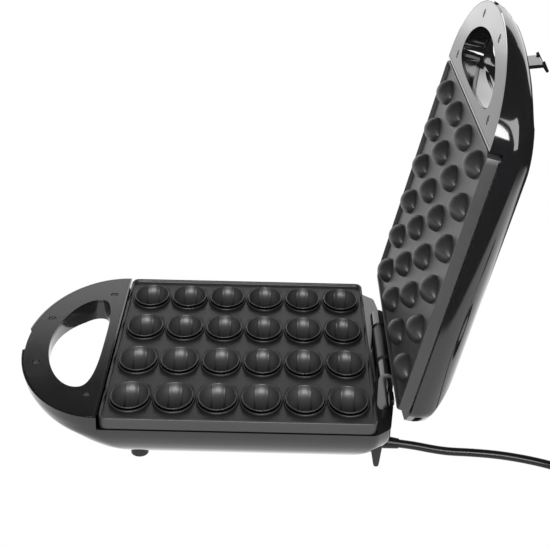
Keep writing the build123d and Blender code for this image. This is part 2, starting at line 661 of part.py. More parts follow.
def base_shell():
    shell = shell_body(BASE_LEVELS, -1)
    outer = case_form(BASE_LEVELS, -1)
    deck_top = PARTING_HEIGHT - SHELL_RIM_DROP
    seat = PARTING_HEIGHT - TRIM_THICKNESS
    for x, y in TRIM_SCREWS:
        boss = post(x, y, TRIM_BOSS_DIAMETER / 2, PARTING_HEIGHT - BASE_DEPTH, seat)
        shell += boss & outer
    for x, y in TRIM_SCREWS:
        shell -= post(x, y, TRIM_SCREW_SHANK_DIAMETER / 2, seat - TRIM_SCREW_LENGTH, seat)
    pan_under = PARTING_HEIGHT - LOWER_PAN_DEPTH
    for x, y in CASE_POSTS:
        shell += post(x, y, CASE_POST_DIAMETER / 2, FOOT_HEIGHT + SHELL_WALL / 2, pan_under)
    for x, y in CASE_POSTS:
        shell -= post(x, y, CASE_SCREW_DIAMETER / 2, FOOT_HEIGHT, pan_under)
        shell -= post(x, y, CASE_SCREW_HEAD_DIAMETER / 2 + SCREW_HEAD_GAP, FOOT_HEIGHT - 1,
                      FOOT_HEIGHT + CASE_SCREW_HEAD_HEIGHT)
    for side in (-1, 1):
        low, high = sorted((side * KNUCKLE_START, side * KNUCKLE_END))
        knuckle = along_y(HINGE_X, PARTING_HEIGHT, HINGE_RADIUS, low, high)
        knuckle += box_between(
            (HINGE_X - HINGE_RADIUS, low, deck_top - DECK_THICKNESS / 2),
            (SHELL_REAR, high, PARTING_HEIGHT),
        )
        shell += knuckle
        bore_end = KNUCKLE_START + HINGE_PIN_IN_KNUCKLE
        bore_low, bore_high = sorted((side * (KNUCKLE_START - 1), side * bore_end))
        shell -= along_y(HINGE_X, PARTING_HEIGHT, HINGE_PIN_RADIUS, bore_low, bore_high)
        stop_low = side * STOP_RIB_CENTRE - STOP_RIB_WIDTH / 2
        shell += box_between(
            (SHELL_REAR - STOP_RIB_LENGTH, stop_low, deck_top - DECK_THICKNESS / 2),
            (SHELL_REAR, stop_low + STOP_RIB_WIDTH, stop_pad_top()),
        )
        drain = side * DRAIN_HALF_SPACING - DRAIN_WIDTH / 2
        shell -= box_between(
            (PLATE_REAR + DRAIN_FROM_PLATE, drain, deck_top - 5),
            (HINGE_X, drain + DRAIN_WIDTH, deck_top + 1),
        )
    shell -= post(HINGE_X - 1, 0, BARREL_WIRE_RADIUS + 1, deck_top - 5, deck_top + 1)
    foot = FRONT_FOOT_DIAMETER / 2
    for x, y in ((-FRONT_FOOT_FROM_CENTRE, FRONT_FOOT_HALF), (-FRONT_FOOT_FROM_CENTRE, -FRONT_FOOT_HALF)):
        shell += post(x, y, foot + SHELL_WALL, FOOT_HEIGHT, FOOT_HEIGHT + FOOT_PAD_DEPTH) & outer
        shell -= post(x, y, FOOT_SPIGOT_DIAMETER / 2, 0, FOOT_HEIGHT + FOOT_SPIGOT_DEPTH)
        shell -= post(x, y, foot + FOOT_FIT, 0, front_foot_top())
    for y in (REAR_LEG_HALF, -REAR_LEG_HALF):
        socket = rear_leg_block(y)
        shell += socket & outer
        shell -= rear_leg(y, REAR_LEG_FIT)
    relief = relief_place()
    big = RELIEF_BIG_DIAMETER / 2
    boss = relief * Pos(0, 0, -RELIEF_BOSS_LENGTH / 2) * Cylinder(big + RELIEF_BOSS_WALL, RELIEF_BOSS_LENGTH)
    shell += boss & outer
    shell -= relief * Cylinder(big - RELIEF_GROOVE_DEPTH + RELIEF_FIT, 60)
    shell -= relief * Pos(0, 0, 10) * Cylinder(big + RELIEF_FIT, 20)
    shell -= relief * Pos(0, 0, -RELIEF_BOSS_LENGTH - 10) * Cylinder(big + RELIEF_FIT, 20)
    return shell


def stop_pad_top():
    """Height of the base's stop pads, just short of the open lid's ribs."""
    rib = (SHELL_BEHIND_HINGE - STOP_RIB_INSET, SHELL_RIM_DROP - STOP_RIB_DEPTH)
    turn = radians(LID_OPEN_ANGLE)
    return PARTING_HEIGHT - sin(turn) * rib[0] + cos(turn) * rib[1] - STOP_CLEARANCE


def front_foot_top():
    return FOOT_HEIGHT + FRONT_FOOT_RECESS


def handle_trim(side):
    """The flat ring that closes a handle, with four screw recesses."""
    face = PARTING_HEIGHT
    back = PARTING_HEIGHT + side * (TRIM_THICKNESS - TRIM_BACK_GAP)
    low, high = sorted((face, back))
    plan = case_outline(0, 0, 0, 0, wall=RIM_BAND + TRIM_EDGE_GAP)
    field = box_between((NOSE, -SHELL_HALF, low), (HANDLE_BACK - RIM_BAND - TRIM_EDGE_GAP, SHELL_HALF, high))
    trim = extrude(Pos(0, 0, low) * plan, high - low) & field
    trim -= extrude(Pos(0, 0, low - 1) * opening_face(), high - low + 2)
    recess_low, recess_high = sorted((face - side, face + side * TRIM_RECESS_DEPTH))
    for x, y in TRIM_SCREWS:
        trim -= post(x, y, TRIM_RECESS_DIAMETER / 2, recess_low, recess_high)
        trim -= post(x, y, TRIM_SCREW_SHANK_DIAMETER / 2 + SCREW_HOLE_GAP, low - 1, high + 1)
    return trim


def trim_screws(side):
    screws = []
    seat = PARTING_HEIGHT + side * TRIM_RECESS_DEPTH
    top = seat - side * TRIM_SCREW_HEAD_HEIGHT
    end = PARTING_HEIGHT + side * TRIM_SCREW_LENGTH
    for x, y in TRIM_SCREWS:
        head = post(x, y, TRIM_SCREW_HEAD_DIAMETER / 2, min(seat, top), max(seat, top))
        slot = Pos(x, y, top) * Box(TRIM_SCREW_CROSS, SCREW_SLOT_WIDTH, SCREW_SLOT_DEPTH)
        cross = Pos(x, y, top) * Box(SCREW_SLOT_WIDTH, TRIM_SCREW_CROSS, SCREW_SLOT_DEPTH)
        shank = post(x, y, TRIM_SCREW_SHANK_DIAMETER / 2, min(seat, end), max(seat, end))
        screws.append(head - slot - cross + shank)
    return Compound(screws)


def case_screws():
    """Screws from below that pull the base shell to the reflector pan."""
    pan_floor = PARTING_HEIGHT - LOWER_PAN_DEPTH + PAN_SHEET
    under = FOOT_HEIGHT + CASE_SCREW_SINK
    screws = []
    for x, y in CASE_POSTS:
        head = post(x, y, CASE_SCREW_HEAD_DIAMETER / 2, under, FOOT_HEIGHT + CASE_SCREW_HEAD_HEIGHT)
        slot = Pos(x, y, under) * Box(CASE_SCREW_HEAD_DIAMETER, SCREW_SLOT_WIDTH, 2 * SCREW_SLOT_DEPTH)
        shank = post(x, y, CASE_SCREW_DIAMETER / 2, under + SCREW_SLOT_DEPTH, pan_floor + CASE_SCREW_BITE)
        screws.append(head - slot + shank)
    return Compound(screws)


def front_foot(y):
    """Round rubber foot with a spigot pressed into the base."""
    foot = post(-FRONT_FOOT_FROM_CENTRE, y, FRONT_FOOT_DIAMETER / 2, 0, front_foot_top())
    foot = chamfer(foot.edges().sort_by(Axis.Z)[0], FRONT_FOOT_CHAMFER)
    top = FOOT_HEIGHT + FOOT_SPIGOT_DEPTH
    return foot + post(-FRONT_FOOT_FROM_CENTRE, y, FOOT_SPIGOT_DIAMETER / 2, front_foot_top(), top)


def rear_leg_block(y):
    """The socket's block round the straight root of a rear leg."""
    half_x = REAR_LEG_TOP_LENGTH / 2 + REAR_LEG_SOCKET_WALL
    half_y = REAR_LEG_TOP_WIDTH / 2 + REAR_LEG_SOCKET_WALL
    top = REAR_LEG_HEIGHT + REAR_LEG_PLUG_DEPTH + REAR_LEG_SOCKET_WALL
    return box_between((REAR_LEG_X - half_x, y - half_y, 0), (REAR_LEG_X + half_x, y + half_y, top))


def rear_leg(y, grow=0.0):
    """Tall leg that narrows to its foot and plugs into a socket of the base."""
    toe = Rectangle(REAR_LEG_FOOT_LENGTH + 2 * grow, REAR_LEG_FOOT_WIDTH + 2 * grow)
    root = Rectangle(REAR_LEG_TOP_LENGTH + 2 * grow, REAR_LEG_TOP_WIDTH + 2 * grow)
    foot = Pos(REAR_LEG_X + REAR_LEG_TOE_BACK, y, 0) * toe
    knee = Pos(REAR_LEG_X, y, REAR_LEG_HEIGHT - REAR_LEG_KNEE_DROP) * root
    top = Pos(REAR_LEG_X, y, REAR_LEG_HEIGHT + REAR_LEG_PLUG_DEPTH + grow) * root
    return loft([foot, knee], ruled=True) + loft([knee, top], ruled=True)


# ---------------------------------------------------------------------------
# Hinge.
# ---------------------------------------------------------------------------
def hinge_barrel():
    """The lid's middle knuckle, with a foot up to the lid's deck."""
    barrel = along_y(HINGE_X, PARTING_HEIGHT, HINGE_RADIUS, -BARREL_HALF_LENGTH, BARREL_HALF_LENGTH)
    ends = barrel.edges().filter_by(GeomType.CIRCLE)
    barrel = chamfer(ends, BARREL_CHAMFER)
    deck = PARTING_HEIGHT + SHELL_RIM_DROP
    barrel += box_between(
        (HINGE_X - BARREL_FOOT_WIDTH / 2, BARREL_FOOT_END - BARREL_HALF_LENGTH, PARTING_HEIGHT),
        (HINGE_X + BARREL_FOOT_WIDTH / 2, BARREL_HALF_LENGTH - BARREL_FOOT_END, deck),
    )
    barrel += box_between(
        (HINGE_X - BARREL_BASE_FRONT, BARREL_BASE_END - BARREL_HALF_LENGTH, deck - BARREL_BASE_HEIGHT),
        (HINGE_X + BARREL_BASE_BACK, BARREL_HALF_LENGTH - BARREL_BASE_END, deck),
    )
    bore = HINGE_PIN_RADIUS + HINGE_PIN_CLEARANCE
    for side in (-1, 1):
        inner = side * (BARREL_HALF_LENGTH - HINGE_PIN_IN_BARREL - BARREL_BLIND_GAP)
        outer = side * (BARREL_HALF_LENGTH + 1)
        barrel -= along_y(HINGE_X, PARTING_HEIGHT, bore, min(inner, outer), max(inner, outer))
    barrel -= along_y(HINGE_X, PARTING_HEIGHT, BARREL_WIRE_RADIUS, -BARREL_HALF_LENGTH, BARREL_HALF_LENGTH)
    return barrel - post(HINGE_X - BARREL_CHANNEL_SHIFT, 0, BARREL_CHANNEL_RADIUS, PARTING_HEIGHT, deck + 1)


def hinge_pin(side):
    """Hollow steel pin, tight in the base's knuckle and free in the barrel."""
    inner = side * (BARREL_HALF_LENGTH - HINGE_PIN_IN_BARREL)
    outer = side * (KNUCKLE_START + HINGE_PIN_IN_KNUCKLE)
    low, high = sorted((inner, outer))
    pin = along_y(HINGE_X, PARTING_HEIGHT, HINGE_PIN_RADIUS, low, high)
    return pin - along_y(HINGE_X, PARTING_HEIGHT, HINGE_PIN_BORE_RADIUS, low - 1, high + 1)


def hinge_bushes():
    rings = []
    for side in (-1, 1):
        low, high = sorted((side * BUSH_START, side * (BUSH_START + BUSH_WIDTH)))
        ring = along_y(HINGE_X, PARTING_HEIGHT, BUSH_RADIUS, low, high)
        rings.append(ring - along_y(HINGE_X, PARTING_HEIGHT, HINGE_PIN_RADIUS, low - 1, high + 1))
    return Compound(rings)


def hinge_wire_sleeve():
    """Insulating sleeve for the wires that pass through the right hinge pin."""
    start = -(KNUCKLE_START + HINGE_PIN_IN_KNUCKLE)
    return along_y(HINGE_X, PARTING_HEIGHT, HINGE_PIN_BORE_RADIUS - SLEEVE_GAP, start, -SLEEVE_END)


# ---------------------------------------------------------------------------
# Lid, closed.
# ---------------------------------------------------------------------------
def lid_shell():
    shell = shell_body(LID_LEVELS, 1)
    outer = case_form(LID_LEVELS, 1)
    deck = PARTING_HEIGHT + SHELL_RIM_DROP
    seat = PARTING_HEIGHT + TRIM_THICKNESS
    for x, y in TRIM_SCREWS:
        shell += post(x, y, TRIM_BOSS_DIAMETER / 2, seat, PARTING_HEIGHT + LID_DEPTH) & outer
    for x, y in TRIM_SCREWS:
        shell -= post(x, y, TRIM_SCREW_SHANK_DIAMETER / 2, seat, seat + TRIM_SCREW_LENGTH)
    pan_back = PARTING_HEIGHT + UPPER_PAN_DEPTH
    for x, y in CASE_POSTS:
        shell += post(x, y, CASE_POST_DIAMETER / 2, pan_back, PARTING_HEIGHT + LID_DEPTH) & outer
    for x, y in CASE_POSTS:
        shell -= post(x, y, CASE_SCREW_DIAMETER / 2, pan_back, pan_back + CASE_SCREW_BORE)
    for side in (-1, 1):
        low = side * STOP_RIB_CENTRE - STOP_RIB_WIDTH / 2
        shell += box_between(
            (SHELL_REAR - STOP_RIB_LENGTH, low, deck - STOP_RIB_DEPTH),
            (SHELL_REAR - STOP_RIB_INSET, low + STOP_RIB_WIDTH, deck + DECK_THICKNESS / 2),
        )
        corner_x, corner_y = SHELL_REAR - REAR_SLANT - CORNER_CUT / 2, side * (SHELL_HALF - CORNER_CUT / 2)
        vent = Pos(corner_x, corner_y, deck + VENT_OVER_DECK) * Rot(0, 0, -45 * side)
        shell -= vent * Box(VENT_LENGTH, VENT_WIDTH, VENT_HEIGHT)
    shell -= slot_tool()
    lower = PARTING_HEIGHT + TRIM_THICKNESS + SHELL_WALL
    upper = PARTING_HEIGHT + LID_DEPTH
    walls = []
    for side in (-1, 1):
        low, high = sorted((side * SLOT_HALF, side * (SLOT_HALF + LATCH_PIN_GRIP + LATCH_PIN_END_WALL)))
        wall = box_between((NOSE, low, lower), (LATCH_PIVOT_X + 2 * LATCH_HUB_RADIUS, high, upper))
        walls.append(wall & outer)
    for wall in walls:
        shell += carve(wall, opening_tools(1))
    bridge_x = NOSE + LATCH_BRIDGE_FROM_NOSE
    bridge_top = PARTING_HEIGHT + LATCH_BRIDGE_HEIGHT
    bridge_end = bridge_x + LATCH_BRIDGE_LENGTH
    bridge = box_between((bridge_x, -SLOT_HALF, lower), (bridge_end, SLOT_HALF, bridge_top))
    shell += bridge & outer
    reach = SLOT_HALF + LATCH_PIN_GRIP
    shell -= along_y(LATCH_PIVOT_X, PARTING_HEIGHT + LATCH_PIVOT_HEIGHT, LATCH_PIN_RADIUS, -reach, reach)
    for y in (-LENS_HALF_SPACING, LENS_HALF_SPACING):
        shell -= post(lens_x(), y, LENS_DIAMETER / 2 + LENS_FIT, PARTING_HEIGHT + 30, lens_top() + 5)
    shell -= post(HINGE_X - BARREL_CHANNEL_SHIFT, 0, BARREL_WIRE_RADIUS, deck - 1, deck + 5)
    return shell


def slot_tool():
    """The slot in the lid's nose that the latch swings in."""
    above = box_between(
        (NOSE - 10, -SLOT_HALF, PARTING_HEIGHT + LATCH_BRIDGE_HEIGHT),
        (OPENING_STRAIGHT - OPENING_REACH + 2, SLOT_HALF, PARTING_HEIGHT + 60),
    )
    front = box_between(
        (NOSE - 10, -SLOT_HALF, PARTING_HEIGHT - 5),
        (NOSE + NOTCH_LENGTH, SLOT_HALF, PARTING_HEIGHT + 60),
    )
    return above + front


def lens_x():
    return NOSE + LENS_FROM_NOSE


def lens_top():
    return PARTING_HEIGHT + lid_height_at(lens_x())


def lid_height_at(x):
    """Height of the lid's middle line over the parting plane, between two levels."""
    stations = [(NOSE + nose_in, level) for level, nose_in, *_ in LID_LEVELS]
    for (x0, h0), (x1, h1) in zip(stations, stations[1:]):
        if x0 <= x <= x1:
            return h0 + (h1 - h0) * (x - x0) / (x1 - x0)
    return stations[-1][1]


def lamp_lens(y):
    """Window of an indicator lamp: a flanged button that stands a little proud of the lid."""
    top = lens_top() + LENS_PROUD
    flange = lens_top() - LENS_DEPTH
    lens = post(lens_x(), y, LENS_DIAMETER / 2, flange, top)
    lens = chamfer(lens.edges().sort_by(Axis.Z)[-1], LENS_CHAMFER)
    return lens + post(lens_x(), y, LENS_FLANGE_DIAMETER / 2, flange - LENS_FLANGE_HEIGHT, flange)


def neon_lamp(y):
    """Indicator lamp standing behind its window on a short bracket foot."""
    top = lens_top() - LENS_DEPTH - LENS_FLANGE_HEIGHT - LAMP_LENS_GAP
    foot = box_between(
        (lens_x() - LAMP_FOOT_HALF, y - LAMP_FOOT_HALF, PARTING_HEIGHT + UPPER_PAN_DEPTH),
        (lens_x() + LAMP_FOOT_HALF, y + LAMP_FOOT_HALF, top - LAMP_BODY_HEIGHT),
    )
    return foot + post(lens_x(), y, LAMP_DIAMETER / 2, top - LAMP_BODY_HEIGHT, top)


def barrel_screws():
    """Screws that hold the hinge barrel's foot to the lid's deck."""
    seat = PARTING_HEIGHT + SHELL_RIM_DROP - BARREL_BASE_HEIGHT
    x = HINGE_X - BARREL_SCREW_FRONT
    heads = [post(x, y, BARREL_SCREW_DIAMETER / 2, seat - BARREL_SCREW_HEIGHT, seat)
             for y in (-BARREL_SCREW_HALF, BARREL_SCREW_HALF)]
    return Compound(heads)


# ---------------------------------------------------------------------------
# Latch, hooked shut on the closed lid.
# ---------------------------------------------------------------------------
def latch():
    """A hook that reaches round the nose from its pivot, with a cupped finger tab."""
    x, z = LATCH_PIVOT_X, PARTING_HEIGHT + LATCH_PIVOT_HEIGHT
    with BuildSketch(Plane.XZ) as profile:
        with BuildLine():
            centre = FilletPolyline(*[(x + dx, z + dz) for dx, dz in LATCH_ARM], radius=LATCH_BENDS)
            offset(centre, LATCH_THICKNESS / 2, side=Side.BOTH)
        make_face()
        with Locations((x, z)):
            Circle(LATCH_HUB_RADIUS)
    arm = extrude(profile.sketch, LATCH_WIDTH / 2, both=True)
    lip_in = (x + LATCH_LIP_IN[0], z + LATCH_LIP_IN[1])
    lip_out = (x + LATCH_LIP_OUT[0], z + LATCH_LIP_OUT[1])
    with BuildSketch(Plane.XZ) as tab_profile:
        with BuildLine():
            bar = Line(lip_in, lip_out)
            offset(bar, LATCH_LIP_THICKNESS / 2, side=Side.BOTH)
        make_face()
    tab = extrude(tab_profile.sketch, LATCH_WIDTH / 2, both=True)
    scoop_place = Pos(x + LATCH_SCOOP_AT[0], 0, z + LATCH_SCOOP_AT[1]) * Rot(0, LATCH_SCOOP_TILT, 0)
    scoop = scoop_place * Cylinder(LATCH_SCOOP_RADIUS, 2 * LATCH_SCOOP_RADIUS)
    piece = arm + (tab - scoop)
    return piece - along_y(x, z, LATCH_PIN_RADIUS + HINGE_PIN_CLEARANCE, -LATCH_WIDTH, LATCH_WIDTH)


def latch_pin():
    reach = SLOT_HALF + LATCH_PIN_GRIP
    return along_y(LATCH_PIVOT_X, PARTING_HEIGHT + LATCH_PIVOT_HEIGHT, LATCH_PIN_RADIUS, -reach, reach)


# ---------------------------------------------------------------------------
# Electrics in the base.
# ---------------------------------------------------------------------------
def relief_place():
    """Frame of the strain relief: its origin on the shell's wall, its axis out along the cord."""
    turn = 90 - CORD_EXIT_ANGLE
    return Pos(relief_x(), CORD_EXIT_Y, CORD_EXIT_HEIGHT) * Rot(0, turn, 0)


def relief_x():
    """Where the shell's rear wall lies at the height of the cord's exit."""
    depth = PARTING_HEIGHT - CORD_EXIT_HEIGHT
    for (d0, _, _, _, r0), (d1, _, _, _, r1) in zip(BASE_LEVELS, BASE_LEVELS[1:]):
        if d0 <= depth <= d1:
            rear_in = r0 + (r1 - r0) * (depth - d0) / (d1 - d0)
            return SHELL_REAR - REAR_SLANT / 2 - rear_in
    return SHELL_REAR - BASE_LEVELS[-1][4]


def strain_relief():
    """Tapered sleeve round the cord, snapped into the shell's wall by a groove."""
    big = RELIEF_BIG_DIAMETER / 2
    neck = RELIEF_BOSS_LENGTH + 2 * RELIEF_FIT
    outside = Cone(big, RELIEF_SMALL_DIAMETER / 2, RELIEF_OUTSIDE_LENGTH)
    body = Pos(0, 0, RELIEF_FIT + RELIEF_OUTSIDE_LENGTH / 2) * outside
    body += Pos(0, 0, RELIEF_FIT - neck / 2) * Cylinder(big - RELIEF_GROOVE_DEPTH, neck)
    body += Pos(0, 0, RELIEF_FIT - neck - RELIEF_FLANGE / 2) * Cylinder(big, RELIEF_FLANGE)
    return relief_place() * body


def relief_end():
    """The point where the cord leaves its strain relief."""
    return relief_place() * Pos(0, 0, RELIEF_FIT + RELIEF_OUTSIDE_LENGTH)


def thermostat():
    """Snap disc that sits on the middle of the lower pan's floor, under the plate."""
    floor = PARTING_HEIGHT - LOWER_PAN_DEPTH + PAN_SHEET
    body = post(0, 0, THERMOSTAT_DIAMETER / 2, floor, floor + THERMOSTAT_HEIGHT)
    return body + Pos(0, 0, floor + THERMOSTAT_EAR_HEIGHT / 2) * Box(
        THERMOSTAT_DIAMETER + 2 * THERMOSTAT_EAR, THERMOSTAT_EAR_WIDTH, THERMOSTAT_EAR_HEIGHT)


def thermal_fuse():
    """Fuse in its glass-fibre sleeve, lying on the pan's floor."""
    floor = PARTING_HEIGHT - LOWER_PAN_DEPTH + PAN_SHEET
    place = Pos(FUSE_X, 0, floor + FUSE_DIAMETER / 2 + FUSE_LIFT) * Rot(0, 90, 0)
    return place * Cylinder(FUSE_DIAMETER / 2, FUSE_LENGTH)


def terminal_block():
    """Three-way block on the base's floor near the cord."""
    floor = FOOT_HEIGHT + SHELL_WALL
    block = box_between(
        (TERMINAL_X - TERMINAL_LENGTH / 2, TERMINAL_Y - TERMINAL_WIDTH / 2, floor),
        (TERMINAL_X + TERMINAL_LENGTH / 2, TERMINAL_Y + TERMINAL_WIDTH / 2, floor + TERMINAL_HEIGHT),
    )
    top = floor + TERMINAL_HEIGHT
    for pole in (-1, 0, 1):
        x = TERMINAL_X + pole * TERMINAL_POLE_PITCH
        block -= post(x, TERMINAL_Y, TERMINAL_WELL_DIAMETER / 2, top - TERMINAL_WELL_DEPTH, top + 1)
    return block


def cord_clamp():
    """Bar screwed over the cord inside the base, on two short pillars."""
    place = relief_place() * Pos(0, 0, -CLAMP_INSIDE)
    x = place.position.X
    y = place.position.Y
    floor = FOOT_HEIGHT + SHELL_WALL
    top = place.position.Z + CORD_DIAMETER / 2 + CLAMP_HEIGHT
    clamp = box_between(
        (x - CLAMP_LENGTH / 2, y - CLAMP_WIDTH / 2, floor),
        (x + CLAMP_LENGTH / 2, y + CLAMP_WIDTH / 2, top),
    ) & case_form(BASE_LEVELS, -1, SHELL_WALL + CLAMP_FIT)
    return clamp - place * Cylinder(CORD_DIAMETER / 2 + CLAMP_FIT, 60)


def inner_cord():
    """The cord inside the base, from the strain relief through the clamp."""
    start = RELIEF_BOSS_LENGTH + RELIEF_FIT + RELIEF_FLANGE
    middle = relief_place() * Pos(0, 0, -start - INNER_CORD_LENGTH / 2)
    return middle * Cylinder(CORD_DIAMETER / 2, INNER_CORD_LENGTH)


def wire_run(*points):
    path = FilletPolyline(*points, radius=WIRE_BEND_RADIUS)
    return sweep(Plane(origin=path @ 0, z_dir=path % 0) * Circle(WIRE_DIAMETER / 2), path)


def base_wiring():
    """Two insulated wires from the terminal block to the rear hole of the pan."""
    floor = FOOT_HEIGHT + SHELL_WALL + TERMINAL_HEIGHT / 2
    x = TERMINAL_X + TERMINAL_LENGTH / 2
    runs = []
    for dy in (-WIRE_HALF_SPACING, WIRE_HALF_SPACING):
        start = (x, TERMINAL_Y + dy, floor)
        turn = (PLATE_REAR - WIRE_HOLE_INSET, TERMINAL_Y + dy, floor)
        rise = (PLATE_REAR - WIRE_HOLE_INSET, dy, floor)
        end = (PLATE_REAR - WIRE_HOLE_INSET, dy, PARTING_HEIGHT - LOWER_PAN_DEPTH - WIRE_END_GAP)
        runs.append(wire_run(start, turn, rise, end))
    return Compound(runs)


def lid_wiring():
    """Two insulated wires that lie on the back of the upper pan, from the hinge to the lamps."""
    height = PARTING_HEIGHT + UPPER_PAN_DEPTH + WIRE_DIAMETER / 2 + 0.1
    runs = []
    for side in (-1, 1):
        y = side * LENS_HALF_SPACING
        start = (PLATE_REAR - LID_WIRE_INSET, side * LID_WIRE_HALF, height)
        bend = (PLATE_REAR - LID_WIRE_INSET - LID_WIRE_STEP, side * LID_WIRE_HALF, height)
        spread = (PLATE_REAR - LID_WIRE_INSET - 2 * LID_WIRE_STEP, y, height)
        end = (lens_x() + LAMP_FOOT_HALF + FUSE_LIFT, y, height)
        runs.append(wire_run(start, bend, spread, end))
    return Compound(runs)


# ---------------------------------------------------------------------------
# Mains cord: a free run on the table, a coil of the length that is put away,
# and the plug.
# ---------------------------------------------------------------------------
def cord_route():
    """Centre line of the cord from its strain relief to the coil, chosen by hand."""
    start = relief_end().position
    second = (relief_end() * Pos(0, 0, CORD_FIRST_RUN)).position
    rest = CORD_DIAMETER / 2 + CORD_LIFT
    join_x, join_y = coil_start()
    return [
        (start.X, start.Y, start.Z),
        (second.X, second.Y, second.Z),
        (144.0, -87.3, 5.4),
        (157.0, -87.2, 3.6),
        (171.0, -86.9, rest),
        (193.0, -89.4, rest),
        (214.0, -95.5, rest),
        (234.0, -104.5, rest),
        (254.0, -119.0, rest),
        (join_x - CORD_DIAMETER - CORD_LAST_RUN, join_y, rest),
        (join_x - CORD_DIAMETER, join_y, rest),
    ]


def coil_radii():
    """Radius of each half turn of one layer, from the outside in."""
    pitch = CORD_DIAMETER + COIL_GAP
    turns = COIL_TURNS / 2
    outer = COIL_MID_RADIUS + pitch * (turns - 1) / 2 + pitch / 4
    return [outer - pitch * half / 2 for half in range(int(2 * turns))]


def coil_start():
    """Where the coil begins, at its lowest-Y point, heading along +X."""
    return COIL_CENTRE_X, COIL_CENTRE_Y - coil_radii()[0]


def coil_path():
    """Half turns that spiral in on the table, climb one layer, and spiral out on top."""
    rest = CORD_DIAMETER / 2 + CORD_LIFT
    pitch = CORD_DIAMETER + COIL_GAP
    radii = coil_radii()
    x = COIL_CENTRE_X
    y = COIL_CENTRE_Y - radii[0]
    edges = []
    heading = 1
    z = rest
    inward = [(radius, 0.0) for radius in radii]
    climb = [(radii[-1] - pitch / 2, pitch)]
    outward = [(radius, 0.0) for radius in reversed(radii)][:-1]
    for radius, rise in inward + climb + outward:
        start = Vector(x, y, z)
        end = Vector(x, y + heading * 2 * radius, z + rise)
        middle = (start + end) / 2 + Vector(heading * (end - start).length / 2, 0, 0)
        edges.append(ThreePointArc(start, middle, end))
        x, y, z = end.X, end.Y, end.Z
        heading = -heading
    return edges, heading


def coil_end():
    edges, heading = coil_path()
    return edges[-1] @ 1, heading


def plug_route():
    """Centre line from the coil's end to the plug's neck."""
    end, heading = coil_end()
    neck = PLUG_BODY_DIAMETER / 2
    return [
        (end.X, end.Y, end.Z),
        (end.X + heading * 16, end.Y, end.Z),
        (end.X + heading * 34, end.Y + 2.5, (end.Z + neck) / 2),
        (end.X + heading * 52, end.Y + 8.0, neck),
        (end.X + heading * 66, end.Y + 14.0, neck),
    ]


def arc_radii(points):
    """For each inner corner, an arc as large as its two runs allow."""
    radii = []
    for before, here, after in zip(points, points[1:], points[2:]):
        arrive = Vector(*here) - Vector(*before)
        leave = Vector(*after) - Vector(*here)
        turn = radians(arrive.get_angle(leave))
        radii.append(0.45 * min(arrive.length, leave.length) / tan(turn / 2))
    return radii


def cord_tube(points, name):
    radii = arc_radii(points)
    print(name, "corner radii", [round(radius, 1) for radius in radii])
    path = FilletPolyline(*points, radius=radii)
    tube = sweep(Plane(origin=path @ 0, z_dir=path % 0) * Circle(CORD_DIAMETER / 2), path)
    expected = pi * CORD_DIAMETER ** 2 / 4 * path.length
    ratio = round(tube.volume / expected, 4)
    print(name, "length", round(path.length, 1), "volume over section times length", ratio)
    return tube


def power_cord():
    return cord_tube(cord_route(), "power_cord")


def cord_coil():
    """The put-away length as one unbroken tube that runs on to the plug."""
    edges, _ = coil_path()
    first = edges[0] @ 0
    lead = Line(first - Vector(CORD_DIAMETER, 0, 0), first)
    tail_points = plug_route()
    tail = FilletPolyline(*tail_points, radius=arc_radii(tail_points))
    path = Wire([lead.edge(), *edges, *tail.edges()])
    tube = sweep(Plane(origin=path @ 0, z_dir=path % 0) * Circle(CORD_DIAMETER / 2), path)
    report_coil(path, edges)
    return tube


def report_coil(path, edges):
    """Prints the coil's length and its least gap to itself, measured on points."""
    steps = 24
    points = [edge @ (step / steps) for edge in edges for step in range(steps)]
    apart = 2 * steps - 4
    least = min(
        (points[i] - points[j]).length
        for i in range(len(points))
        for j in range(i + apart, len(points))
    )
    print("cord_coil length", round(path.length, 1), "least gap to itself", round(least - CORD_DIAMETER, 2))


def plug():
    with BuildLine(Plane.XZ) as line:
        Polyline(
            (0, 0),
            (PLUG_NECK_DIAMETER / 2, 0),
            (PLUG_NECK_DIAMETER / 2 + PLUG_NECK_FLARE, PLUG_NECK_LENGTH),
            (PLUG_BODY_DIAMETER / 2, PLUG_NECK_LENGTH + PLUG_SHOULDER_LENGTH),
            (PLUG_BODY_DIAMETER / 2, PLUG_NECK_LENGTH + PLUG_BODY_LENGTH - PLUG_EDGE),
            (PLUG_BODY_DIAMETER / 2 - PLUG_EDGE, PLUG_NECK_LENGTH + PLUG_BODY_LENGTH),
            (0, PLUG_NECK_LENGTH + PLUG_BODY_LENGTH),
            close=True,
        )
    body = revolve(make_face(line.wire()), Axis.Z)
    return plug_place() * body


def plug_place():
    """Frame of the plug: it lies level on its round body, turned the way the cord arrives."""
    points = [Vector(*point) for point in plug_route()]
    forward = points[-1] - points[-2]
    heading = degrees(atan2(forward.Y, forward.X))
    return Pos(*points[-1]) * Rot(0, 0, heading) * Rot(0, 90, 0)


def plug_pins():
    pins = []
    start = PLUG_NECK_LENGTH + PLUG_BODY_LENGTH
    for side in (-1, 1):
        pin = Pos(0, side * PLUG_PIN_SPACING / 2, start + PLUG_PIN_LENGTH / 2) * Cylinder(
            PLUG_PIN_DIAMETER / 2, PLUG_PIN_LENGTH)
        pins.append(plug_place() * chamfer(pin.edges().sort_by(Axis.Z)[-1], PLUG_PIN_CHAMFER))
    return Compound(pins)


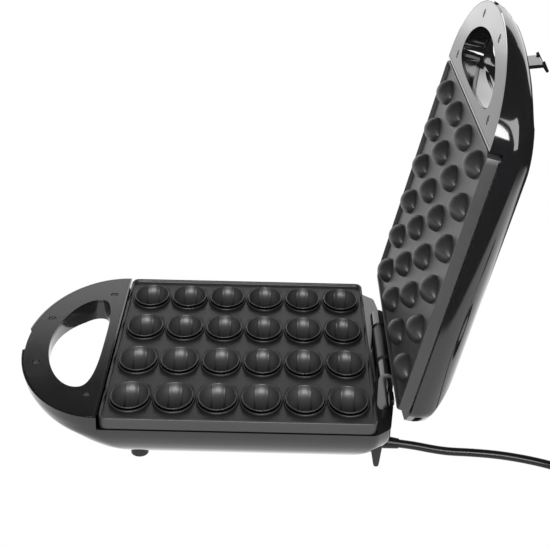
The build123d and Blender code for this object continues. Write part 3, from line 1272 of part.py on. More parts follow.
# ---------------------------------------------------------------------------
# Assembly.
# ---------------------------------------------------------------------------
def base_pieces():
    return {
        "base_shell": base_shell(),
        "base_handle_trim": handle_trim(-1),
        "base_trim_screws": trim_screws(-1),
        "lower_baking_plate": lower_baking_plate(),
        "lower_heating_element": heating_element(-1),
        "lower_reflector_pan": reflector_pan(-1),
        "lower_plate_screws": plate_screws(-1),
        "base_case_screws": case_screws(),
        "thermostat": thermostat(),
        "thermal_fuse": thermal_fuse(),
        "terminal_block": terminal_block(),
        "base_wiring": base_wiring(),
        "front_foot_left": front_foot(FRONT_FOOT_HALF),
        "front_foot_right": front_foot(-FRONT_FOOT_HALF),
        "rear_leg_left": rear_leg(REAR_LEG_HALF),
        "rear_leg_right": rear_leg(-REAR_LEG_HALF),
        "hinge_pin_left": hinge_pin(1),
        "hinge_pin_right": hinge_pin(-1),
        "hinge_bushes": hinge_bushes(),
        "hinge_wire_sleeve": hinge_wire_sleeve(),
        "strain_relief": strain_relief(),
        "inner_cord": inner_cord(),
        "cord_clamp": cord_clamp(),
        "power_cord": power_cord(),
        "cord_coil": cord_coil(),
        "plug": plug(),
        "plug_pins": plug_pins(),
    }


def lid_pieces():
    return {
        "lid_shell": lid_shell(),
        "lid_handle_trim": handle_trim(1),
        "lid_trim_screws": trim_screws(1),
        "upper_baking_plate": upper_baking_plate(),
        "upper_heating_element": heating_element(1),
        "upper_reflector_pan": reflector_pan(1),
        "upper_plate_screws": plate_screws(1),
        "hinge_barrel": hinge_barrel(),
        "hinge_barrel_screws": barrel_screws(),
        "power_lamp": neon_lamp(-LENS_HALF_SPACING),
        "ready_lamp": neon_lamp(LENS_HALF_SPACING),
        "power_lamp_lens": lamp_lens(-LENS_HALF_SPACING),
        "ready_lamp_lens": lamp_lens(LENS_HALF_SPACING),
        "lid_wiring": lid_wiring(),
        "latch_pin": latch_pin(),
    }


def latch_pieces():
    return {"latch": latch().rotate(LATCH_AXIS, LATCH_SWING)}


CORD_NODES = ["power_cord", "cord_coil", "plug", "plug_pins"]


def all_pieces():
    """Every piece at rest, in the frame whose origin is under the middle of the open object."""
    pieces = base_pieces()
    for name, piece in {**lid_pieces(), **latch_pieces()}.items():
        pieces[name] = open_lid(piece)
    boxes = [piece.bounding_box() for name, piece in pieces.items() if name not in CORD_NODES]
    low_x = min(box.min.X for box in boxes)
    high_x = max(box.max.X for box in boxes)
    middle = (low_x + high_x) / 2
    print("frame origin lies", round(middle, 3), "mm behind the middle of the plate")
    return {name: Pos(-middle, 0, 0) * piece for name, piece in pieces.items()}, middle


def write_parts():
    os.makedirs("parts", exist_ok=True)
    pieces, _ = all_pieces()
    for name, piece in pieces.items():
        export_step(piece, f"parts/{name}.step")


if __name__ == "__main__":
    write_parts()
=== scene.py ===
import json
from math import atan2, cos, degrees, pi, radians, sin, sqrt, tan

import bmesh
import bpy
import numpy as np
from mathutils import Matrix, Vector


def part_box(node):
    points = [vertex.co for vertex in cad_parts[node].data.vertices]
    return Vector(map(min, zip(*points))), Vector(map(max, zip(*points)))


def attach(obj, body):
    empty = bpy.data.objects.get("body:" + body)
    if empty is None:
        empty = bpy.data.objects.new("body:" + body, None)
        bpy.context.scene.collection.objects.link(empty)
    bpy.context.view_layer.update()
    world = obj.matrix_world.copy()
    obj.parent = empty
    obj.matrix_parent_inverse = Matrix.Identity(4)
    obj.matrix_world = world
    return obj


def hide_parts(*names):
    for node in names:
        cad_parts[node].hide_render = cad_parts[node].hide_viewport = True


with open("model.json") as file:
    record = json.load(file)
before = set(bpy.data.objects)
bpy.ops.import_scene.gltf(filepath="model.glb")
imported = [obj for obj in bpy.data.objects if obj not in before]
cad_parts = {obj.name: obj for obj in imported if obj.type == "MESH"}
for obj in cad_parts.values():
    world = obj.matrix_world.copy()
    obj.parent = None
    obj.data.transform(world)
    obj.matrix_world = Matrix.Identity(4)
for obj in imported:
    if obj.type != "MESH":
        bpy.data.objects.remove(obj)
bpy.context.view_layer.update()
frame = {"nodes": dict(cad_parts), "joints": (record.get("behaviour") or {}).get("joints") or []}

# ---------------------------------------------------------------------------
# The working frame: millimetres, origin in the middle of the baking plates,
# +X to the hinge, +Y to the left side, Z up from the table. The lid's shapes
# are written closed and then swung open about the hinge.
# ---------------------------------------------------------------------------
MM = 0.001
JOINTS = {joint["name"]: joint for joint in frame["joints"]}
PLATE_LOW, PLATE_HIGH = (Vector(corner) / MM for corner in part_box("lower_baking_plate"))
SHIFT = -(PLATE_LOW.x + PLATE_HIGH.x) / 2
HINGE_X = JOINTS["lid_hinge"]["pos_m"][0] / MM + SHIFT
PARTING = JOINTS["lid_hinge"]["pos_m"][2] / MM
LID_OPEN = radians(104.2)
PLATE_HALF_X = (PLATE_HIGH.x - PLATE_LOW.x) / 2
PLATE_HALF_Y = 124.0

COLUMNS = 6
ROWS = 4
PITCH_X = 32.0
PITCH_Y = 59.3
CUP_HALF_WIDTH = 13.4
CUP_HALF_LENGTH = 19.8
CUP_WALL = 1.15
CUP_RIM = 1.1
CUP_BAND_HALF = 4.5
DOME_HALF_WIDTH = 9.8
DOME_HALF_LENGTH = 15.5
LOWER_FLOOR = -2.4
UPPER_FLOOR = 3.0
SHEET = 3.0
SKIRT = 8.5
LIP = 2.0
PLATE_CORNER = 6.0

HANDLE_BACK = -PLATE_HALF_X - 1.2
HANDLE_REACH = 71.3
NOSE = HANDLE_BACK - HANDLE_REACH
SHELL_REAR = HINGE_X + 5.2
SHELL_HALF = 124.0
SHELL_WALL = 2.5
RIM_DROP = 9.6
DECK_THICKNESS = 2.5
OPENING_STRAIGHT = HANDLE_BACK - 8.8
OPENING_REACH = 42.4
OPENING_HALF = 77.5
OPENING_APEX = 13.0
OPENING_BACK_POWER = 3.0
OPENING_FRONT_POWER = 1.8
OPENING_WALL = 17.5
OPENING_NOSE_WALL = 10.5
FLARE_HEIGHT = 26.0
FLARE_BACK = 26.0
RELIEF_SLOPE = 2.4
RELIEF_HEIGHT = 9.0
TRIM_THICKNESS = 2.5
RIM_BAND = 1.5
TRIM_GAP = 0.3
NOTCH_HALF = 18.5
NOTCH_DEPTH = 6.4
HINGE_RADIUS = 6.0

# level: distance from the parting plane, then insets at nose, shoulder, side, rear
BASE_LEVELS = np.array([
    (0.0, 0.0, 0.0, 0.0, 0.0),
    (5.0, 1.2, 0.0, 0.0, 0.0),
    (9.6, 3.5, 2.0, 0.0, 0.0),
    (14.0, 8.5, 3.0, 0.5, 0.0),
    (20.0, 22.5, 7.0, 2.5, 0.5),
    (27.0, 33.0, 14.0, 7.0, 4.0),
    (32.0, 40.0, 19.0, 12.3, 8.5),
    (36.0, 51.0, 26.0, 18.0, 14.0),
    (39.5, 64.0, 32.0, 24.5, 20.5),
    (42.0, 87.0, 42.0, 33.0, 31.0),
])
LID_LEVELS = np.array([
    (0.0, 0.0, 0.0, 0.0, 0.0),
    (5.0, 1.5, 0.0, 0.0, 0.0),
    (9.6, 3.5, 0.0, 0.0, 0.0),
    (15.0, 7.5, 0.0, 0.4, 0.0),
    (20.0, 13.5, 2.0, 2.0, 0.5),
    (25.5, 22.5, 4.0, 5.5, 1.5),
    (30.0, 33.0, 8.0, 10.5, 8.5),
    (34.0, 46.0, 14.0, 18.0, 19.0),
    (37.0, 61.0, 22.0, 28.0, 30.0),
    (39.0, 79.0, 32.0, 40.0, 46.0),
    (40.0, 97.0, 45.0, 52.0, 72.0),
])

CORD_DIAMETER = 6.2


# ---------------------------------------------------------------------------
# Placing points.
# ---------------------------------------------------------------------------
def to_world(points, lid=False):
    """Working millimetres to metres of the frame; the lid's points also turn about the hinge."""
    points = np.array(points, float)
    if lid:
        dx = points[..., 0] - HINGE_X
        dz = points[..., 2] - PARTING
        points[..., 0] = HINGE_X + cos(LID_OPEN) * dx + sin(LID_OPEN) * dz
        points[..., 2] = PARTING - sin(LID_OPEN) * dx + cos(LID_OPEN) * dz
    points[..., 0] -= SHIFT
    return points * MM


def swing(obj):
    """Opens a piece that was built closed: x' = c dx + s dz and z' = c dz - s dx about the hinge."""
    mesh = obj.data
    place = np.empty(3 * len(mesh.vertices), np.float32)
    mesh.vertices.foreach_get("co", place)
    points = place.reshape(-1, 3).astype(float) / MM
    points[:, 0] += SHIFT
    mesh.vertices.foreach_set("co", to_world(points, lid=True).astype(np.float32).ravel())
    mesh.update()
    return obj


def above(points, heights, side=1):
    """Adds a Z column, measured from the parting plane, to plan points."""
    heights = np.broadcast_to(np.asarray(heights, float), points.shape[:-1])
    return np.concatenate([points, (PARTING + side * heights)[..., None]], axis=-1)


class Shape:
    """Collects grids and caps in working millimetres and turns them into one mesh object."""

    def __init__(self):
        self.points = []
        self.faces = []
        self.count = 0

    def add(self, points):
        """Stores points and returns their indices in the same arrangement."""
        points = np.asarray(points, float)
        index = np.arange(self.count, self.count + points[..., 0].size).reshape(points.shape[:-1])
        self.points.append(points.reshape(-1, 3))
        self.count += index.size
        return index

    def grid(self, points, wrap=False, flip=False):
        """Quads between the rows and columns of a grid of points; wrap joins the last column to the first."""
        index = self.add(points)
        self.quads(index, wrap, flip)
        return index

    def quads(self, index, wrap=False, flip=False):
        if wrap:
            index = np.concatenate([index, index[:, :1]], axis=1)
        a, b = index[:-1, :-1].ravel(), index[:-1, 1:].ravel()
        c, d = index[1:, 1:].ravel(), index[1:, :-1].ravel()
        quads = np.stack([a, b, c, d], axis=1)
        self.faces.extend((quads[:, ::-1] if flip else quads).tolist())

    def cap(self, ring, flip=False):
        self.faces.append(list(ring[::-1] if flip else ring))

    def build(self, name, lid=False, merge=1e-3):
        mesh = bpy.data.meshes.new(name)
        mesh.from_pydata(to_world(np.concatenate(self.points), lid).tolist(), [], self.faces)
        obj = bpy.data.objects.new(name, mesh)
        bpy.context.scene.collection.objects.link(obj)
        tidy(obj, merge)
        return obj


def tidy(obj, merge=1e-3, outward=True):
    """Merges doubles and turns every face outwards."""
    work = bmesh.new()
    work.from_mesh(obj.data)
    bmesh.ops.remove_doubles(work, verts=work.verts, dist=merge * MM)
    bmesh.ops.dissolve_degenerate(work, edges=work.edges, dist=1e-4 * MM)
    if outward:
        bmesh.ops.recalc_face_normals(work, faces=work.faces)
    work.to_mesh(obj.data)
    work.free()


def smooth(obj, angle=35.0):
    """Smooth shading with edges sharper than the angle kept."""
    obj.data.polygons.foreach_set("use_smooth", np.ones(len(obj.data.polygons), bool))
    obj.data.set_sharp_from_angle(angle=radians(angle))
    return obj


def carve(target, tools, operation="DIFFERENCE"):
    """Cuts tools out of a target, or joins them to it, one after the other, and removes the tools."""
    for tool in tools:
        modifier = target.modifiers.new("carve", "BOOLEAN")
        modifier.operation = operation
        modifier.solver = "EXACT"
        modifier.object = tool
        bpy.context.view_layer.update()
        graph = bpy.context.evaluated_depsgraph_get()
        mesh = bpy.data.meshes.new_from_object(target.evaluated_get(graph))
        target.modifiers.clear()
        old = target.data
        target.data = mesh
        bpy.data.meshes.remove(old)
        bpy.data.objects.remove(tool)
    return target


def soften(obj, width, angle=40.0, segments=2):
    """Rounds the edges of an object a little, as moulding and stamping do."""
    bevel = obj.modifiers.new("edges", "BEVEL")
    bevel.width = width * MM
    bevel.segments = segments
    bevel.limit_method = "ANGLE"
    bevel.angle_limit = radians(angle)
    bevel.harden_normals = False
    smooth(obj, angle)
    weigh = obj.modifiers.new("normals", "WEIGHTED_NORMAL")
    weigh.keep_sharp = True
    return obj


def softened_copy(node, name, width, angle=40.0):
    """A copy of a CAD node with its doubles merged, its flat faces joined and its edges rounded."""
    source = frame["nodes"][node]
    obj = bpy.data.objects.new(name, source.data.copy())
    bpy.context.scene.collection.objects.link(obj)
    tidy(obj, merge=2e-3, outward=False)
    work = bmesh.new()
    work.from_mesh(obj.data)
    bmesh.ops.dissolve_limit(work, angle_limit=radians(1.0), verts=work.verts, edges=work.edges)
    work.to_mesh(obj.data)
    work.free()
    return soften(obj, width, angle)


# ---------------------------------------------------------------------------
# Curves in plan.
# ---------------------------------------------------------------------------
def monotone_curve(table, steps):
    """Smooth curve through rows of a table, without overshoot, by cumulative chord length."""
    span = np.hypot(np.diff(table[:, 0]), np.diff(table[:, 1:].mean(axis=1)))
    s = np.concatenate([[0], np.cumsum(span)])
    at = np.linspace(0, s[-1], steps)
    columns = [pchip(s, column, at) for column in table.T]
    return np.stack(columns, axis=1)


def pchip(x, y, at):
    """Cubic Hermite curve whose slopes are the harmonic means of the neighbouring chords."""
    h = np.diff(x)
    chord = np.diff(y) / h
    slope = np.zeros_like(y)
    product = chord[:-1] * chord[1:]
    same = product > 0
    total = np.where(same, chord[:-1] + chord[1:], 1.0)
    slope[1:-1] = np.where(same, 2 * product / total, 0.0)
    slope[0], slope[-1] = chord[0], chord[-1]
    k = np.clip(np.searchsorted(x, at, side="right") - 1, 0, len(h) - 1)
    t = (at - x[k]) / h[k]
    low = (1 + 2 * t) * (1 - t) ** 2 * y[k] + t * (1 - t) ** 2 * h[k] * slope[k]
    return low + t * t * (3 - 2 * t) * y[k + 1] + t * t * (t - 1) * h[k] * slope[k + 1]


def rounded_corner(before, corner, after, reach, count):
    """Points of a parabola that rounds a corner, tangent to both sides at a given reach."""
    before, corner, after = (np.array(point, float) for point in (before, corner, after))
    start = corner + (before - corner) * min(reach / np.linalg.norm(before - corner), 0.45)
    end = corner + (after - corner) * min(reach / np.linalg.norm(after - corner), 0.45)
    t = np.linspace(0, 1, count)[:, None]
    return (1 - t) ** 2 * start + 2 * t * (1 - t) * corner + t * t * end


def case_ring(nose_in, shoulder_in, side_in, rear_in, wall=0.0):
    """Plan of a case at one level, the same number of points at every level."""
    shoulder = HANDLE_BACK + shoulder_in
    half = SHELL_HALF - side_in - wall
    nose = NOSE + nose_in + wall
    rear = SHELL_REAR - rear_in - wall
    turn = np.linspace(pi / 2, 3 * pi / 2, 129)
    front = np.stack([shoulder + (shoulder - nose) * np.cos(turn), half * np.sin(turn)], axis=1)
    corners = [(shoulder, -half), (rear - 16, -half), (rear - 5, 11 - half), (rear, -0.57 * half),
               (rear, 0.57 * half), (rear - 5, half - 11), (rear - 16, half), (shoulder, half)]
    rounded = [rounded_corner(corners[i - 1], corners[i], corners[i + 1], 3.5 if i in (1, 2, 5, 6) else 12, 7)
               for i in range(1, 7)]
    right = between(front[-1], rounded[0][0], 24)
    left = between(rounded[-1][-1], front[0], 24)
    rear_line = between(rounded[2][-1], rounded[3][0], 16)
    return np.concatenate([front, right, rounded[0], rounded[1], rounded[2], rear_line,
                           rounded[3], rounded[4], rounded[5], left])


def between(a, b, count):
    """Points strictly between two ends."""
    t = np.linspace(0, 1, count + 2)[1:-1, None]
    return (1 - t) * np.asarray(a) + t * np.asarray(b)


def opening_ring(back=0.0, front=0.0, ends=0.0, count=160):
    """Plan of the finger opening, evenly spaced: an egg, nearly straight to the plate, narrower to the nose."""
    turn = np.linspace(0, 2 * pi, 18 * count, endpoint=False)
    toward_plate = np.cos(turn) >= 0
    power = np.where(toward_plate, OPENING_BACK_POWER, OPENING_FRONT_POWER)
    reach = np.where(toward_plate, OPENING_APEX + back, OPENING_REACH - OPENING_APEX + front)
    across = np.sign(np.cos(turn)) * np.abs(np.cos(turn)) ** (2 / power)
    along = np.sign(np.sin(turn)) * np.abs(np.sin(turn)) ** (2 / power)
    x = OPENING_STRAIGHT - OPENING_APEX + reach * across
    y = (OPENING_HALF + ends) * along
    step = np.hypot(np.roll(x, -1) - x, np.roll(y, -1) - y)
    run = np.concatenate([[0], np.cumsum(step)])
    at = np.linspace(0, run[-1], count, endpoint=False)
    return np.stack([np.interp(at, run, np.append(x, x[0])), np.interp(at, run, np.append(y, y[0]))], axis=1)


def offset_ring(ring, distance):
    """A closed ring moved outwards by a distance, positive away from its middle."""
    ahead = np.roll(ring, -1, axis=0) - np.roll(ring, 1, axis=0)
    normal = np.stack([ahead[:, 1], -ahead[:, 0]], axis=1)
    normal /= np.linalg.norm(normal, axis=1)[:, None]
    area = np.sum(ring[:, 0] * np.roll(ring[:, 1], -1) - ring[:, 1] * np.roll(ring[:, 0], -1))
    return ring + normal * distance * (1 if area > 0 else -1)


# ---------------------------------------------------------------------------
# Simple solids for cutting and joining.
# ---------------------------------------------------------------------------
def block(low, high):
    """A block from its lowest to its highest corner, in working millimetres."""
    shape = Shape()
    (x0, y0, z0), (x1, y1, z1) = low, high
    ring = [(x0, y0), (x1, y0), (x1, y1), (x0, y1)]
    shape.grid([[(x, y, z0) for x, y in ring], [(x, y, z1) for x, y in ring]], wrap=True)
    shape.cap(np.arange(4), flip=True)
    shape.cap(np.arange(4, 8))
    return shape


def prism(ring, low, high):
    """A plan ring drawn up between two heights over the table."""
    shape = Shape()
    count = len(ring)
    rows = [np.concatenate([ring, np.full((count, 1), z)], axis=1) for z in (low, high)]
    shape.grid(np.stack(rows), wrap=True)
    shape.cap(np.arange(count), flip=True)
    shape.cap(np.arange(count, 2 * count))
    return shape


def rod_y(x, z, radius, low, high, count=48):
    """A cylinder along Y."""
    turn = np.linspace(0, 2 * pi, count, endpoint=False)
    shape = Shape()
    rows = [np.stack([x + radius * np.cos(turn), np.full(count, y), z + radius * np.sin(turn)], axis=1)
            for y in (low, high)]
    shape.grid(np.stack(rows), wrap=True)
    shape.cap(np.arange(count), flip=True)
    shape.cap(np.arange(count, 2 * count))
    return shape


def disc_ring(x, y, radius, count=40):
    turn = np.linspace(0, 2 * pi, count, endpoint=False)
    return np.stack([x + radius * np.cos(turn), y + radius * np.sin(turn)], axis=1)


# ---------------------------------------------------------------------------
# Case halves.
# ---------------------------------------------------------------------------
def case_solid(levels, side, wall=0.0, steps=44):
    """Stack of smooth rings from the parting plane to the case's closed end."""
    curve = monotone_curve(levels, steps)
    deepest = levels[-1, 0]
    rows = [above(case_ring(*insets, wall=wall), level * (deepest - wall) / deepest, side)
            for level, *insets in curve]
    shape = Shape()
    index = shape.grid(np.stack(rows), wrap=True)
    shape.cap(index[0])
    shape.cap(index[-1])
    return shape


def wall_depth(ring):
    """Depth of the opening's wall: full at the plates and the ends, least in the middle of the nose."""
    forward = (OPENING_STRAIGHT - ring[:, 0]) / OPENING_REACH
    middle = 1 - (ring[:, 1] / (0.89 * OPENING_HALF)) ** 2
    return OPENING_WALL - (OPENING_WALL - OPENING_NOSE_WALL) * np.clip(forward * middle, 0, 1)


def opening_solid(side, wall=0.0):
    """The finger opening's void: straight walls, then a flare under the plates."""
    plan = opening_ring(wall, wall, wall)
    depth = wall_depth(plan) - wall
    rows = [above(plan, -5.0, side)]
    for share in np.linspace(0, 1.23, 12):
        ring = opening_ring(wall + FLARE_BACK * share, wall + 7 * share, wall + 7 * share)
        rows.append(above(ring, depth + FLARE_HEIGHT * share, side))
    return closed_rows(rows)


def relief_solid(side, wall=0.0):
    """The handle's hollowed underside: a wide flare to the nose and the ends, then straight down."""
    depth = wall_depth(opening_ring(wall, wall, wall)) - wall
    rows = []
    for drop, grow in ((-0.3, -0.5), (0.0, 0.3), (3.0, 7.3), (6.0, 14.4), (7.6, 17.8), (RELIEF_HEIGHT, 20.4),
                       (11.0, 22.4), (14.0, 23.4), (36.0, 23.6)):
        rows.append(above(opening_ring(wall - 0.5, wall + grow, wall + grow), depth + drop, side))
    return closed_rows(rows)


def closed_rows(rows):
    """A solid from rings of points, closed at both ends."""
    shape = Shape()
    index = shape.grid(np.stack(rows), wrap=True)
    shape.cap(index[0])
    shape.cap(index[-1])
    return shape


def case_body(name, levels, side):
    """One case half, closed, with its plate well, handle ring, rear deck, trim seat and nose notch."""

    def heights(a, b):
        return sorted((PARTING + side * a, PARTING + side * b))

    def cutter(x0, x1, half, a, b):
        low, high = heights(a, b)
        return block((x0, -half, low), (x1, half, high)).build("tool")

    outer = case_solid(levels, side).build(name)
    hollow = case_solid(levels, side, SHELL_WALL).build("hollow")
    partition = cutter(HANDLE_BACK - SHELL_WALL, HANDLE_BACK, 140, -5, 60)
    deck = cutter(PLATE_HALF_X + 0.4, SHELL_REAR + 1, 140, RIM_DROP, RIM_DROP + DECK_THICKNESS)
    collars = [shape(side, SHELL_WALL).build("collar") for shape in (opening_solid, relief_solid)]
    carve(hollow, [partition, deck, *collars])
    body_cut = cutter(HANDLE_BACK, SHELL_REAR + 5, 140, -7, RIM_DROP)
    openings = [shape(side).build("opening") for shape in (opening_solid, relief_solid)]
    seat_ring = trim_outer_ring(RIM_BAND, HANDLE_BACK - RIM_BAND)
    seat = prism(seat_ring, *heights(-1, TRIM_THICKNESS)).build("seat")
    notch = cutter(NOSE - 5, NOSE + RIM_BAND + 0.6, NOTCH_HALF, -3, NOTCH_DEPTH)
    carve(outer, [body_cut, hollow, *openings, seat, notch])
    return outer


def trim_outer_ring(inset, straight):
    """Outline of a handle trim: half an oval inside the case's rim, closed by a straight back."""
    half = SHELL_HALF - inset
    nose = NOSE + inset
    turn = np.linspace(pi / 2, 3 * pi / 2, 161)
    front = np.stack([HANDLE_BACK + (HANDLE_BACK - nose) * np.cos(turn), half * np.sin(turn)], axis=1)
    keep = front[front[:, 0] < straight - 0.2]
    reach = HANDLE_BACK - nose
    y = half * sqrt(max(0.0, 1 - ((HANDLE_BACK - straight) / reach) ** 2))
    corners = np.array([(straight, -y), (straight, y)])
    back = between(corners[0], corners[1], 24)
    return np.concatenate([keep, corners[:1], back, corners[1:]])


# ---------------------------------------------------------------------------
# Materials.
# ---------------------------------------------------------------------------
class Socket:
    """A node socket with arithmetic, so that patterns read as formulas."""

    def __init__(self, graph, link):
        self.graph = graph
        self.link = link

    def math(self, operation, other=None, third=None, clamp=False):
        node = self.graph.tree.nodes.new("ShaderNodeMath")
        node.operation = operation
        node.use_clamp = clamp
        for index, value in enumerate((self, other, third)):
            if value is not None:
                self.graph.feed(node.inputs[index], value)
        return Socket(self.graph, node.outputs[0])

    def __add__(self, other):
        return self.math("ADD", other)

    def __radd__(self, other):
        return self.math("ADD", other)

    def __sub__(self, other):
        return self.math("SUBTRACT", other)

    def __rsub__(self, other):
        return (self * -1.0) + other

    def __mul__(self, other):
        return self.math("MULTIPLY", other)

    def __rmul__(self, other):
        return self.math("MULTIPLY", other)

    def __truediv__(self, other):
        return self.math("DIVIDE", other)

    def ramp(self, low, high):
        """0 below low, 1 above high, smooth between."""
        return self.graph.node("MapRange", {"Value": self, "From Min": low, "From Max": high},
                               interpolation_type="SMOOTHSTEP")


class Graph:
    """A material's node tree with its Principled shader."""

    def __init__(self, name, color, roughness, metallic=0.0, coat=0.0, specular=0.5):
        self.material = bpy.data.materials.new(name)
        self.material.use_nodes = True
        self.tree = self.material.node_tree
        self.shader = self.tree.nodes["Principled BSDF"]
        self.set("Base Color", (*color, 1.0))
        self.set("Roughness", roughness)
        self.set("Metallic", metallic)
        self.set("Coat Weight", coat)
        self.set("Coat Roughness", 0.05)
        self.set("Specular IOR Level", specular)

    def set(self, name, value):
        self.feed(self.shader.inputs[name], value)

    def feed(self, target, value):
        if isinstance(value, Socket):
            self.tree.links.new(value.link, target)
        else:
            target.default_value = value

    def node(self, kind, inputs, output=0, **settings):
        node = self.tree.nodes.new("ShaderNode" + kind)
        for key, value in settings.items():
            setattr(node, key, value)
        for key, value in inputs.items():
            self.feed(node.inputs[key], value)
        return Socket(self, node.outputs[output])

    def place(self):
        """The point on the object, in metres."""
        return self.node("TexCoord", {}, output="Object")

    def noise(self, scale, detail=3.0, rough=0.5, where=None):
        place = self.place() if where is None else where
        return self.node("TexNoise", {"Vector": place, "Scale": scale, "Detail": detail, "Roughness": rough})

    def voronoi(self, scale):
        return self.node("TexVoronoi", {"Vector": self.place(), "Scale": scale})

    def bump(self, height, distance, strength=1.0):
        normal = self.node("Bump", {"Height": height, "Distance": distance, "Strength": strength})
        self.set("Normal", normal)

    def mix(self, factor, a, b):
        node = self.tree.nodes.new("ShaderNodeMix")
        node.data_type = "RGBA"
        self.feed(node.inputs[0], factor)
        self.feed(node.inputs[6], (*a, 1.0))
        self.feed(node.inputs[7], (*b, 1.0))
        return Socket(self, node.outputs[2])


def gloss_plastic(name, color=(0.006, 0.006, 0.0065), roughness=0.09):
    """Polished black plastic: faint swirl scratches and an almost flat surface."""
    graph = Graph(name, color, roughness, coat=0.6)
    wide = graph.noise(35.0, 2.0)
    fine = graph.noise(900.0, 4.0, 0.6)
    graph.set("Roughness", wide * 0.05 + fine * 0.04 + (roughness - 0.04))
    graph.bump(wide + fine * 0.02, 0.00012, 0.35)
    return graph.material


def satin_plastic(name, color=(0.005, 0.005, 0.0055), roughness=0.13):
    """Moulded plastic with a fine spark-eroded grain."""
    graph = Graph(name, color, roughness)
    grain = graph.noise(4200.0, 3.0, 0.7)
    cloud = graph.noise(22.0, 2.0)
    graph.set("Roughness", cloud * 0.08 + grain * 0.10 + (roughness - 0.08))
    graph.bump(grain, 0.00003, 0.25)
    graph.set("Base Color", graph.mix(cloud, color, tuple(channel * 1.35 for channel in color)))
    return graph.material


def coated_metal(name, color=(0.024, 0.024, 0.025), roughness=0.41, crevice_shading=False):
    """Non-stick coating on cast aluminium: satin, with fine sprayed grain; with crevice_shading, painted shade makes
    the crevices near-black, duller and metallic.
    """
    graph = Graph(name, color, roughness, specular=0.6)
    spray = graph.noise(2600.0, 4.0, 0.65)
    speck = graph.voronoi(3200.0)
    cloud = graph.noise(28.0, 3.0)
    rough = spray * 0.14 + cloud * 0.06 + (roughness - 0.10)
    shade = graph.mix(cloud * 0.6 + spray * 0.4, tuple(c * 0.8 for c in color), tuple(c * 1.25 for c in color))
    # painted shade: the crevice attribute blends the colour towards near-black and raises roughness and metallic where
    # shade falls in grooves
    if crevice_shading:
        crevice_shade = graph.node("Attribute", {}, output="Fac", attribute_name="crevice_shade")
        rough = rough + crevice_shade * 0.4
        graph.set("Metallic", crevice_shade)
        node = graph.tree.nodes.new("ShaderNodeMix")
        node.data_type = "RGBA"
        graph.feed(node.inputs[0], crevice_shade)
        graph.feed(node.inputs[6], shade)
        graph.feed(node.inputs[7], (0.002, 0.002, 0.002, 1.0))
        shade = Socket(graph, node.outputs[2])
    graph.set("Roughness", rough)
    graph.bump(spray + speck * 0.3, 0.00005, 0.45)
    graph.set("Base Color", shade)
    return graph.material


def rubbery(name, color=(0.012, 0.012, 0.0125), roughness=0.42):
    graph = Graph(name, color, roughness, specular=0.3)
    grain = graph.noise(2500.0, 3.0, 0.6)
    cloud = graph.noise(60.0, 2.0)
    graph.set("Roughness", cloud * 0.10 + (roughness - 0.05))
    graph.bump(grain, 0.00008, 0.4)
    return graph.material


def brushed_steel(name, color=(0.55, 0.55, 0.56), roughness=0.28):
    graph = Graph(name, color, roughness, metallic=1.0)
    place = graph.node("Mapping", {"Vector": graph.place(), "Scale": (1.0, 30.0, 30.0)})
    streak = graph.noise(400.0, 3.0, 0.6, where=place)
    graph.set("Roughness", streak * 0.2 + (roughness - 0.1))
    graph.bump(streak, 0.00002, 0.3)
    return graph.material


def plain(name, color, roughness, metallic=0.0):
    """Inner pieces that a closed maker hides: one colour with a little unevenness."""
    graph = Graph(name, color, roughness, metallic=metallic)
    cloud = graph.noise(180.0, 3.0)
    graph.set("Roughness", cloud * 0.15 + (roughness - 0.07))
    graph.set("Base Color", graph.mix(cloud, color, tuple(channel * 0.85 for channel in color)))
    return graph.material


CASE = gloss_plastic("case_gloss")
LID_CASE = gloss_plastic("lid_case_gloss")
TRIM = satin_plastic("trim_satin")
COATING = coated_metal("plate_coating")
# this coating carries painted shade in the cups' grooves and along their rib edges
CUP_COATING_SHADED = coated_metal("cup_plate_coating_painted_shade", crevice_shading=True)
HINGE = satin_plastic("hinge_satin", (0.007, 0.007, 0.0075), 0.30)
RUBBER = rubbery("foot_rubber")
SHEATH = rubbery("cord_sheath", (0.005, 0.005, 0.0055), 0.24)
STEEL = brushed_steel("screw_steel")
DARK_STEEL = brushed_steel("dark_steel", (0.10, 0.10, 0.10), 0.35)
BRASS = brushed_steel("nickelled_pin", (0.72, 0.68, 0.58), 0.22)
ALUMINIUM = plain("sheet_aluminium", (0.6, 0.6, 0.6), 0.4, 1.0)
IVORY = plain("ivory_plastic", (0.62, 0.58, 0.48), 0.5)
INSULATION = plain("wire_insulation", (0.7, 0.68, 0.62), 0.5)
LENS_RED = gloss_plastic("lens_red", (0.30, 0.01, 0.01), 0.12)
LENS_GREEN = gloss_plastic("lens_green", (0.01, 0.22, 0.04), 0.12)


def dress(obj, material, body, *nodes, slot=None):
    """Gives a piece its finish, its body and the CAD nodes that it stands for."""
    obj.data.materials.clear()
    obj.data.materials.append(material)
    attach(obj, body)
    if nodes:
        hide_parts(*nodes)
    return obj


def finish_nodes(material, *nodes):
    """A better finish for CAD nodes that stay as they are."""
    for node in nodes:
        mesh = frame["nodes"][node].data
        mesh.materials.clear()
        mesh.materials.append(material)


# ---------------------------------------------------------------------------
# Baking plates.
# ---------------------------------------------------------------------------
def cup_turns():
    """Directions round a cup, closer together at the edges of its band and at its middle line."""
    sides = np.concatenate([[1.0, 0.9375, 0.875, 0.81, 0.76, sqrt(0.5), 0.65, 0.6, 0.55, 0.51], [0.475, 0.45, 0.43, 0.415, 0.40, 0.385, 0.37, 0.355],
                            [0.33, 0.27, 0.20, 0.13, 0.085, 0.06, 0.04, 0.02]])
    quarter = np.arccos(sides)
    half = np.concatenate([quarter, [pi / 2], pi - quarter[:0:-1]])
    return np.concatenate([half, half + pi])


def cell_border(turn):
    """The rectangle round one cup or dome, in the directions given."""
    scale = np.maximum(np.abs(np.cos(turn)), np.abs(np.sin(turn)))
    return np.stack([PITCH_X / 2 * np.cos(turn) / scale, PITCH_Y / 2 * np.sin(turn) / scale], axis=1)


